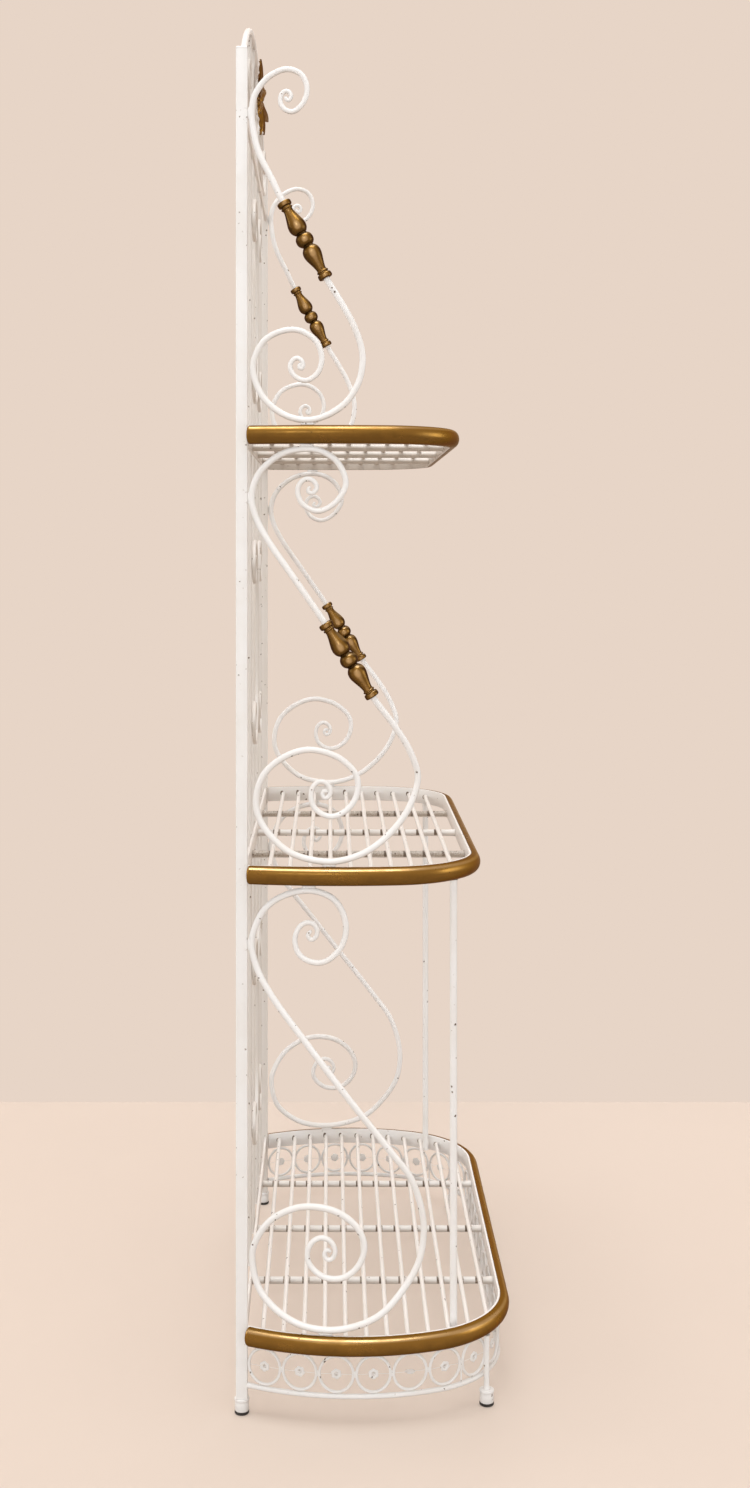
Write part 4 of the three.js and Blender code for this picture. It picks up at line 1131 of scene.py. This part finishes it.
class RACK_OT_end_scrolls(bpy.types.Operator):
    """Models the scrolls at both ends, with their weld pads"""

    bl_idname = "rack.end_scrolls"
    bl_label = "End scrolls"

    def execute(self, context):
        sizes = context.scene.rack_sizes
        pad = rounded_rectangle(PAD_WIDTH, sizes.pad_length, PAD_ROUNDING)
        for side, level in [(side, level) for side in SIDES for level in SCROLLS]:
            way, _, _ = scroll_way(side, level)
            radii = tapered(way, sizes.scroll)
            shape = Shape()
            shape.tube(way, radii, round_ends=True)
            for sign in (-1,) if level == "crown" else (-1, 1):
                spot = farthest(way, UP * sign)
                near = radii[way.index(spot)] - PAD_SINK
                far = sizes.scroll + sizes.pad
                centre = spot + UP * sign * (near + far) / 2
                half = (far - near) / 2
                shape.loft([
                    [centre + Vector((x * share, y * share, rise * half)) for x, y in pad]
                    for rise, share in PAD_RINGS
                ])
                shape.welds += [centre + BACK * y for y in PAD_WELDS]
            rear = farthest(way, BACK)
            near = rear.y + radii[way.index(rear)] - TAB_SINK
            far = POST_FRONT - sizes.gap
            size = (TAB_WIDTH, (far - near) * TAB_SWELL, sizes.pad_length * TAB_LENGTH)
            shape.bead(Vector((rear.x, (near + far) / 2, rear.z)), size)
            shape.welds.append(rear + BACK * sizes.scroll)
            make_piece(f"{side}_{level}_scroll_rod", shape, PAINT, f"{side}_{level}_scroll")
        return {"FINISHED"}


class RACK_OT_balusters(bpy.types.Operator):
    """Models the turned brass balusters"""

    bl_idname = "rack.balusters"
    bl_label = "Balusters"

    def execute(self, context):
        sizes = context.scene.rack_sizes
        bore = sizes.scroll + BORE_GAP
        half = [Vector((radius, run, 0)) for radius, run in BALUSTER_SHARES]
        mirrored = [Vector((p.x, 1 - p.y, 0)) for p in reversed(half[:-1])]
        fine = smooth_curve(half + mirrored, BALUSTER_CUTS)
        profile = [(p.x * sizes.baluster, (p.y - 0.5) * sizes.baluster_length) for p in fine]
        start, end = profile[0][1], profile[-1][1]
        profile = [(bore, start + BORE_DEPTH), (bore, start), *profile]
        profile += [(bore, end), (bore, end - BORE_DEPTH)]
        for side, level in [(side, level) for side in SIDES for level in ("middle", "crown")]:
            _, head, foot = scroll_way(side, level)
            turn = UP.rotation_difference(foot - head).to_matrix().to_4x4()

            # Each point's share of the painted highlight and painted edge shade, larger on the bulges.
            def painted_sheen(point, head=head, axis=(foot - head).normalized()):
                reach = (point - head).cross(axis).length / sizes.baluster
                share = min(1, max(0, (reach - SHEEN_START) / SHEEN_SPAN))
                return SHEEN_LEAST + (1 - SHEEN_LEAST) * share

            shape = Shape()
            shape.lathe(profile, Matrix.Translation((head + foot) / 2) @ turn, sides=48)
            shape.tones["bulge_sheen"] = painted_sheen
            make_piece(f"{side}_{level}_baluster_turned", shape, BRASS, f"{side}_{level}_baluster")
        return {"FINISHED"}


# Apron

END_RING_SHARE = 0.32
STRUT_SHARE = 0.67
STRUT_RADIUS, TIE_RADIUS = 1.3 * MM, 0.3 * MM
RING_STEPS = 44
APRON_SEED = 11
ROD_WELD_REACH, RING_WELD_REACH, RING_WELD_SOIL = 4.5 * MM, 4 * MM, 0.35
RING_LUMP, RING_LUMP_INSET, JOINT_LUMP = ((5, 8), 3.4, 1.8), 0.9 * MM, (4.2, 3.4, (7, 10))
LEAN = (-0.02, 0.02)
ROSETTE_DEPTH = 1.5 * MM
ROSETTE_LOBES = {"lobes": 6, "lobe_share": 0.07}
TURNED_ROSETTE = 4
TURNED_ANGLE = math.radians(87)


def along_way(way, share):
    """A point and its direction at a share of a way's length."""
    runs = runs_along(way)
    target = share * runs[-1]
    index = max(k for k in range(len(way) - 1) if runs[k] <= target)
    step = (way[index + 1] - way[index]).normalized()
    return way[index] + step * (target - runs[index]), step


class RACK_OT_apron(bpy.types.Operator):
    """Models the ring chains and the rod under the bottom shelf"""

    bl_idname = "rack.apron"
    bl_label = "Apron"

    def execute(self, context):
        sizes = context.scene.rack_sizes
        plan = Plan("bottom")
        low, middle, high = box_of("apron_rod")
        rod_z, radius = middle.z, (high.z - low.z) / 2 / HEXAGON
        way = [point for point, _ in plan.way(radius, rod_z)]
        rod = Shape()
        rod.tube(way, flared(way, radius))
        rod.weld_reach = ROD_WELD_REACH
        rod.welds += [way[0], way[-1]]

        low, middle, high = box_of("front_apron_rings")
        half_height = (high.z - low.z) / 2
        circuit = [point for point, _ in plan.way(radius, middle.z)]
        total = runs_along(circuit)[-1]
        count = round(total / sizes.ring_pitch)
        half = total / count / 2 - sizes.gap / 2
        wire, tall = half - sizes.ring_wire, half_height - sizes.ring_wire
        per_end = round(count * END_RING_SHARE)
        strut = round(per_end * STRUT_SHARE)
        spots = [along_way(circuit, (index + 0.5) / count) for index in range(count)]
        rod.welds += [centre - UP * (half_height + sizes.ring_wire) for centre, _ in spots]
        make_piece("apron_rod_round", rod, PAINT, "apron_rod")

        draw = random.Random(APRON_SEED)
        profile = [(reach * sizes.rosette, rise * ROSETTE_DEPTH) for reach, rise in ROSETTE_SHARES]
        angles = [2 * math.pi * k / RING_STEPS for k in range(RING_STEPS + 1)]
        bounds = (0, per_end, count - per_end, count)
        for chain, first, last in zip(("left", "front", "right"), bounds, bounds[1:]):
            rings, rosettes = Shape(), Shape()
            rings.weld_reach, rings.weld_soil = RING_WELD_REACH, RING_WELD_SOIL
            rosettes.weld_soil = 0
            for index in range(first, last):
                centre, along = spots[index]
                lean = draw.uniform(*LEAN)
                loop = [
                    centre + along * (wire * math.cos(a)) + UP * (tall * math.sin(a)) for a in angles
                ]
                rings.tube(loop, sizes.ring_wire, sides=10)
                turn = Matrix((along, along.cross(UP).normalized(), UP)).transposed()
                for sign in (-1, 1):
                    spot = centre + UP * sign * half_height
                    rings.welds.append(spot)
                    rings.bead(spot - UP * sign * RING_LUMP_INSET, drawn(draw, *RING_LUMP), turn)
                if index + 1 < last:
                    after, onward = spots[index + 1]
                    joint = ((centre + along * half) + (after - onward * half)) / 2
                    rings.bead(joint, drawn(draw, *JOINT_LUMP), turn)
                    rings.welds.append(joint)
                    if index + 1 in (strut, count - strut):
                        foot = Vector((joint.x, joint.y, rod_z + radius))
                        rings.tube([foot, joint], STRUT_RADIUS, sides=10)
                turn = Matrix((along, UP.cross(along), UP)).transposed()
                spin = Matrix.Rotation(lean + draw.uniform(0, 1), 3, "Z")
                tipped = TURNED_ANGLE if index == TURNED_ROSETTE else 0
                upright = Matrix.Rotation(math.pi / 2 + tipped, 3, "X") @ spin
                matrix = Matrix.Translation(centre) @ (turn @ upright).to_4x4()
                rosettes.lathe(profile, matrix, soil=ROSETTE_SOIL_AND_SHADE, **ROSETTE_LOBES)
                rosettes.tube([centre - along * wire, centre + along * wire], TIE_RADIUS, sides=8)
                rosettes.welds.append(centre)
            make_piece(f"{chain}_apron_hoops", rings, PAINT, f"{chain}_apron_rings")
            make_piece(f"{chain}_apron_rosettes", rosettes, PAINT, f"{chain}_apron_rings")
        return {"FINISHED"}


# Back panel and crest

PANEL_TURNS, PANEL_EASE, PANEL_STEPS = 1.3, 2.6, 260
PANEL_STEP = 3 * MM
# Painted shade on the back panel's bars and scrolls.
PANEL_SHADE = 0.7
BAR_LUMP, BAR_LUMP_INSET = (7 * MM, 2 * MM, 4 * MM), 0.6 * MM
PANEL_LUMP, PANEL_LUMP_REACH = (6 * MM, 4 * MM, 9 * MM), 5 * MM
ARCH_LUMP, ARCH_DROP, ARCH_STEPS = (10 * MM, 8 * MM, 3 * MM), 18 * MM, 90
LEAF_LEAN = math.radians(5)
LEAF_COLUMNS, LEAF_CUTS, LEAF_POINT = 15, 3, 0.004
LEAF_THICKNESS = 1.2 * MM
LEAF_SWELL, LEAF_DROOP = 3.2 * MM, 2.5 * MM
LEAF_CUP, CUP_EASE, CUP_START, CUP_SPAN = 5 * MM, 1.5, 0.12, 0.9
RUFFLE_DEPTH, RUFFLES = 1.1 * MM, 24
RIB_HEIGHT, RIB_SHARPNESS = 1.1 * MM, 6
VEIN_DEPTH, VEINS, VEIN_SLANT, VEIN_START = 0.4 * MM, 44, 7, 5
CLUSTER_DROP = 88 * MM
BOSS_RADIUS = 9 * MM
BOSS_LOBES = {"lobes": 5, "lobe_share": 0.05}


def c_scroll(length_along, width):
    """(across, along) pairs of a C scroll whose ends curl ever tighter."""
    points = [(0.0, 0.0)]
    for index in range(PANEL_STEPS * 2):
        share = (index + 0.5) / PANEL_STEPS - 1
        heading = math.copysign(2 * math.pi * PANEL_TURNS * abs(share) ** PANEL_EASE, share)
        points.append((points[-1][0] + math.sin(heading), points[-1][1] + math.cos(heading)))
    low = [min(p[axis] for p in points) for axis in (0, 1)]
    high = [max(p[axis] for p in points) for axis in (0, 1)]
    return [
        ((px - low[0]) / (high[0] - low[0]) * width, (py - low[1]) / (high[1] - low[1]) * length_along)
        for px, py in points
    ]


class RACK_OT_back_panel(bpy.types.Operator):
    """Models the bars and scrolls between the posts"""

    bl_idname = "rack.back_panel"
    bl_label = "Back panel"

    def execute(self, context):
        rod = context.scene.rack_sizes.panel_rod
        levels = [corner.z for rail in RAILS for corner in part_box(rail)]
        for node in BACK_BARS:
            start, end, radius = upright_rod(node)
            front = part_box(node)[0].y
            way = straight(start, end, [level - start.z for level in levels])
            shape = Shape(PANEL_SHADE)
            shape.tube(way, flared(way, radius))
            shape.welds += [end] + [Vector((start.x, front, level)) for level in levels]
            for level in levels:
                shape.bead(Vector((start.x, front + BAR_LUMP_INSET, level)), BAR_LUMP)
            make_piece(f"{node}_rod", shape, PAINT, node)
        for side, sign in SIDES.items():
            for bay in ("lower_back", "middle_back", "upper_back", "crest"):
                node = f"{side}_{bay}_scroll"
                low, centre, high = box_of(node)
                wide, tall = high.x - low.x - 2 * rod, high.z - low.z - 2 * rod
                if bay == "crest":
                    pairs = [(x, z) for z, x in c_scroll(wide, tall)]
                else:
                    pairs = c_scroll(tall, wide)
                inner = (low if sign > 0 else high).x
                way = [Vector((inner + sign * (rod + x), centre.y, low.z + rod + z)) for x, z in pairs]
                self.panel_scroll(node, spaced(way, PANEL_STEP), rod)
        return {"FINISHED"}

    def panel_scroll(self, node, way, radius):
        shape = Shape(PANEL_SHADE)
        shape.tube(way, radius, sides=12, round_ends=True)
        for bar in BACK_BARS:
            front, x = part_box(bar)[0].y, box_of(bar)[1].x
            nearest = min(way, key=lambda point: abs(point.x - x))
            if abs(nearest.x - x) < PANEL_LUMP_REACH:
                spot = Vector(((nearest.x + x) / 2, (nearest.y + front) / 2, nearest.z))
                shape.bead(spot, PANEL_LUMP)
                shape.welds.append(spot)
        make_piece(f"{node}_rod", shape, PAINT, node)


def leaf_depth(run, across, reach):
    """How far the face of a leaf lies ahead of its root, at shares of its length and half width."""
    aside = abs(across)
    swell = LEAF_SWELL * math.sin(math.pi * run) - LEAF_DROOP * run**4
    cup = LEAF_CUP * aside**CUP_EASE * math.sin(math.pi * min(1, CUP_START + run * CUP_SPAN))
    ruffle = RUFFLE_DEPTH * math.sin(run * RUFFLES) * across * aside
    rib = RIB_HEIGHT * max(0, 1 - aside * RIB_SHARPNESS)
    vein = math.sin(run * VEINS - aside * VEIN_SLANT) * (1 - aside) * min(1, aside * VEIN_START)
    return math.sin(LEAF_LEAN) * run * reach + swell - cup + ruffle + rib + VEIN_DEPTH * vein


def leaf_mesh(sizes, turn, share):
    """Points and faces of a cupped leaf with a midrib and side veins, from its root outwards."""
    reach = sizes.leaf * share
    outline = smooth_curve([Vector((half, run, 0)) for half, run in LEAF_SHARES], LEAF_CUTS)
    rows, columns = len(outline), LEAF_COLUMNS
    spin = Matrix.Rotation(math.radians(turn), 3, "Y")
    front, back = [], []
    for point in outline:
        half = max(point.x, LEAF_POINT) * sizes.leaf_width
        for column in range(columns):
            across = column / (columns - 1) * 2 - 1
            depth = leaf_depth(point.y, across, reach)
            front.append(spin @ Vector((across * half, -depth, point.y * reach)))
            back.append(spin @ Vector((across * half, LEAF_THICKNESS - depth, point.y * reach)))
    size = rows * columns
    faces = []
    for a in (row * columns + column for row in range(rows - 1) for column in range(columns - 1)):
        b, c, d = a + 1, a + columns + 1, a + columns
        faces += [(a, b, c, d), (d + size, c + size, b + size, a + size)]
    edge = [row * columns for row in range(rows)]
    edge += range((rows - 1) * columns + 1, size)
    edge += [row * columns + columns - 1 for row in range(rows - 2, -1, -1)]
    edge += range(columns - 2, 0, -1)
    faces += [(a, b, b + size, a + size) for a, b in zip(edge, edge[1:] + edge[:1])]
    return front + back, faces


class RACK_OT_crest(bpy.types.Operator):
    """Models the arch over the back and the brass leaf cluster"""

    bl_idname = "rack.crest"
    bl_label = "Crest"

    def execute(self, context):
        sizes = context.scene.rack_sizes
        low, middle, high = box_of("crest_arch")
        radius = (high.y - low.y) / 2 / HEXAGON
        half_span = POST_OUTSIDE - POST_SIZE
        crown = high.z - radius
        rise = crown - (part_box("right_post_cap")[1].z - ARCH_DROP)
        bend = (half_span**2 + rise**2) / (2 * rise)
        reach = math.asin((half_span - sizes.gap) / bend)
        turns = [reach * (2 * index / ARCH_STEPS - 1) for index in range(ARCH_STEPS + 1)]
        way = [
            Vector((bend * math.sin(turn), middle.y, crown - bend + bend * math.cos(turn)))
            for turn in turns
        ]
        shape = Shape()
        shape.tube(way, flared(way, radius))
        shape.welds += [way[0], way[-1]]
        for bar in BACK_BARS:
            spot = Vector((box_of(bar)[1].x, middle.y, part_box(bar)[1].z))
            shape.bead(spot, ARCH_LUMP)
            shape.welds.append(spot)
        make_piece("crest_arch_rod", shape, PAINT, "crest_arch")

        centre = Vector((0, POST_FRONT, crown - CLUSTER_DROP))
        shape = Shape()
        for turn, share in LEAVES:
            points, faces = leaf_mesh(sizes, turn, share)
            shape.add([centre + point for point in points], faces)
        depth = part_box("back_bar_3")[0].y - sizes.gap - POST_FRONT
        profile = [(reach * BOSS_RADIUS, rise * depth) for reach, rise in BOSS_SHARES]
        matrix = Matrix.Translation(centre) @ Matrix.Rotation(math.pi / 2, 4, "X")
        shape.lathe(profile, matrix, sides=30, **BOSS_LOBES)
        shape.welds.append(centre)
        make_piece("crest_leaves", shape, BRASS, "crest_leaf_cluster")
        return {"FINISHED"}


# Stage

CAMERA_DISTANCE = 2.503
CAMERA_HEIGHT = 1.254
CAMERA_FORWARD = 0.1192
SENSOR_WIDTH = 36
IMAGE_HEIGHT = 1488
FOCAL_PIXELS = 1732
HORIZON_UP, HORIZON_LEFT = 196, 45
WALL_DISTANCE = 3.92
STAGE_REACH = 9
BOUNCE_SHARE = 0.5
GLOW_SHARE, GLOW_STRENGTH = 0.35, 1.13
FLOOR_NOISE, FLOOR_RANGE = {"Scale": 1.4, "Detail": 3.0}, (0.3, 0.7)
FLOOR_PATCHES, FLOOR_TONE, FLOOR_ROUGHNESS = 0.2, 0.95, 0.7
WORLD_LIGHT = {"Color": (0.99, 0.915, 0.85, 1), "Strength": 0.355}
LAMP_COLOUR = (0.975, 0.985, 1.0)
LAMP_TARGET = Vector((0, 0, 1))
LAMPS = (
    # name, place, size along and across, watts, whether metal mirrors it
    ("ceiling", (-1.3, 0.4, 7.0), (4.4, 2.4), 225, True),
    ("camera side", (-8.0, 1.2, 1.9), (4.2, 3.4), 300, False),
    ("key", (-4.2, 0.7, 3.3), (0.8, 0.8), 12, True),
    ("front", (-0.6, -4.4, 2.0), (2.4, 1.8), 42, True),
    ("far side", (4.4, -0.6, 2.2), (2.4, 1.8), 50, True),
    ("rear", (0.4, 4.4, 2.2), (2.4, 1.8), 40, True),
)


def backdrop_share(nodes):
    """1 for the rays that show the stage, straight or in a reflection."""
    rays = nodes.add("ShaderNodeLightPath").outputs
    seen = nodes.math("MAXIMUM", rays["Is Camera Ray"], rays["Is Glossy Ray"])
    return nodes.math("MAXIMUM", seen, rays["Is Transmission Ray"])


class RACK_OT_stage(bpy.types.Operator):
    """Sets the floor, the backdrop, the lamps and the camera"""

    bl_idname = "rack.stage"
    bl_label = "Stage"

    def execute(self, context):
        scene = context.scene
        colours = scene.rack_colours
        camera_x = -POST_OUTSIDE - CAMERA_DISTANCE
        self.make_floor(colours)
        self.make_backdrop(colours, camera_x + WALL_DISTANCE)
        for name, spot, size, watts, mirrored in LAMPS:
            data = bpy.data.lights.new(name, "AREA")
            data.shape, data.energy, data.color = "RECTANGLE", watts, LAMP_COLOUR
            data.size, data.size_y = size
            lamp = bpy.data.objects.new(name, data)
            lamp.location = spot
            lamp.rotation_euler = (LAMP_TARGET - Vector(spot)).to_track_quat("-Z", "Y").to_euler()
            lamp.visible_glossy = mirrored
            scene.collection.objects.link(lamp)
        scene.world = bpy.data.worlds.new("Studio")
        scene.world.use_nodes = True
        named = scene.world.node_tree.nodes
        nodes = NodeTree(scene.world.node_tree)
        nodes.feed(named["Background"], WORLD_LIGHT)
        shown = nodes.add("ShaderNodeBackground", {"Color": rgba(colours.wall), "Strength": 1.0})
        mix = nodes.mix(backdrop_share(nodes), named["Background"], shown)
        nodes.feed(named["World Output"], {"Surface": mix.outputs[0]})
        data = bpy.data.cameras.new("Camera")
        data.sensor_width = SENSOR_WIDTH
        data.lens = FOCAL_PIXELS / IMAGE_HEIGHT * SENSOR_WIDTH
        data.shift_x = HORIZON_LEFT / IMAGE_HEIGHT
        data.shift_y = -HORIZON_UP / IMAGE_HEIGHT
        camera = bpy.data.objects.new("Camera", data)
        camera.location = (camera_x, POST_FRONT - CAMERA_FORWARD, CAMERA_HEIGHT)
        camera.rotation_euler = (math.pi / 2, 0, -math.pi / 2)
        scene.collection.objects.link(camera)
        scene.camera = camera
        scene.view_settings.view_transform = "Standard"
        return {"FINISHED"}

    def sheet(self, name, corners):
        """A flat piece of the stage, the nodes of its own material, and those by name."""
        mesh = bpy.data.meshes.new(name)
        mesh.from_pydata([[share * STAGE_REACH for share in corner] for corner in corners], [], [range(4)])
        look = bpy.data.materials.new(f"Stage {name}")
        look.use_nodes = True
        mesh.materials.append(look)
        sheet = bpy.data.objects.new(name, mesh)
        bpy.context.scene.collection.objects.link(sheet)
        return sheet, NodeTree(look.node_tree), look.node_tree.nodes

    def make_floor(self, colours):
        _, nodes, named = self.sheet("floor", [(-1, -1, 0), (1, -1, 0), (1, 1, 0), (-1, 1, 0)])
        noise = nodes.noise(nodes.coordinates(), FLOOR_NOISE)["Fac"]
        patches = nodes.times(nodes.range(noise, *FLOOR_RANGE), FLOOR_PATCHES)
        tone = nodes.blend(patches, colours.floor, [value * FLOOR_TONE for value in colours.floor])
        dim = [value * BOUNCE_SHARE for value in colours.floor]
        tone = nodes.blend(backdrop_share(nodes), dim, tone)
        nodes.feed(named["Principled BSDF"], {"Base Color": tone, "Roughness": FLOOR_ROUGHNESS})
        glow = nodes.add("ShaderNodeEmission", {"Color": tone, "Strength": GLOW_STRENGTH})
        share = nodes.times(backdrop_share(nodes), GLOW_SHARE)
        mix = nodes.mix(share, named["Principled BSDF"], glow)
        nodes.feed(named["Material Output"], {"Surface": mix.outputs[0]})

    def make_backdrop(self, colours, wall_x):
        sheet, nodes, named = self.sheet("backdrop", [(0, 1, 0), (0, -1, 0), (0, -1, 1), (0, 1, 1)])
        sheet.location.x = wall_x
        sheet.visible_shadow = False
        nodes.feed(named["Principled BSDF"], {"Base Color": rgba(colours.wall)})
        shown = nodes.add("ShaderNodeEmission", {"Color": rgba(colours.wall), "Strength": 1.0})
        mix = nodes.mix(backdrop_share(nodes), named["Principled BSDF"], shown)
        behind = nodes.add("ShaderNodeNewGeometry").outputs["Backfacing"]
        both = nodes.mix(behind, mix, nodes.add("ShaderNodeBsdfTransparent"))
        nodes.feed(named["Material Output"], {"Surface": both.outputs[0]})


class RACK_PT_panel(bpy.types.Panel):
    """Lists the pieces of the rack"""

    bl_idname = "RACK_PT_panel"
    bl_label = "Bakers Rack"
    bl_space_type = "VIEW_3D"
    bl_region_type = "UI"
    bl_category = "Bakers Rack"

    def draw(self, context):
        layout = self.layout
        for settings in (context.scene.rack_sizes, context.scene.rack_colours):
            column = layout.column(align=True)
            for name in settings.__annotations__:
                column.prop(settings, name)
        column = layout.column(align=True)
        for operator in OPERATORS:
            column.operator(operator.bl_idname)


OPERATORS = (
    RACK_OT_finishes, RACK_OT_posts, RACK_OT_feet, RACK_OT_front_rods, RACK_OT_bands, RACK_OT_rims,
    RACK_OT_grilles, RACK_OT_back_rails, RACK_OT_end_scrolls, RACK_OT_balusters, RACK_OT_apron,
    RACK_OT_back_panel, RACK_OT_crest, RACK_OT_stage,
)
CLASSES = (RackSizes, RackColours, *OPERATORS, RACK_PT_panel)


def register():
    for item in CLASSES:
        bpy.utils.register_class(item)
    bpy.types.Scene.rack_sizes = PointerProperty(type=RackSizes)
    bpy.types.Scene.rack_colours = PointerProperty(type=RackColours)


def unregister():
    del bpy.types.Scene.rack_colours
    del bpy.types.Scene.rack_sizes
    for item in reversed(CLASSES):
        bpy.utils.unregister_class(item)


def main():
    register()
    for operator in OPERATORS:
        group, name = operator.bl_idname.split(".")
        getattr(getattr(bpy.ops, group), name)()


if __name__ == "__main__":
    main()
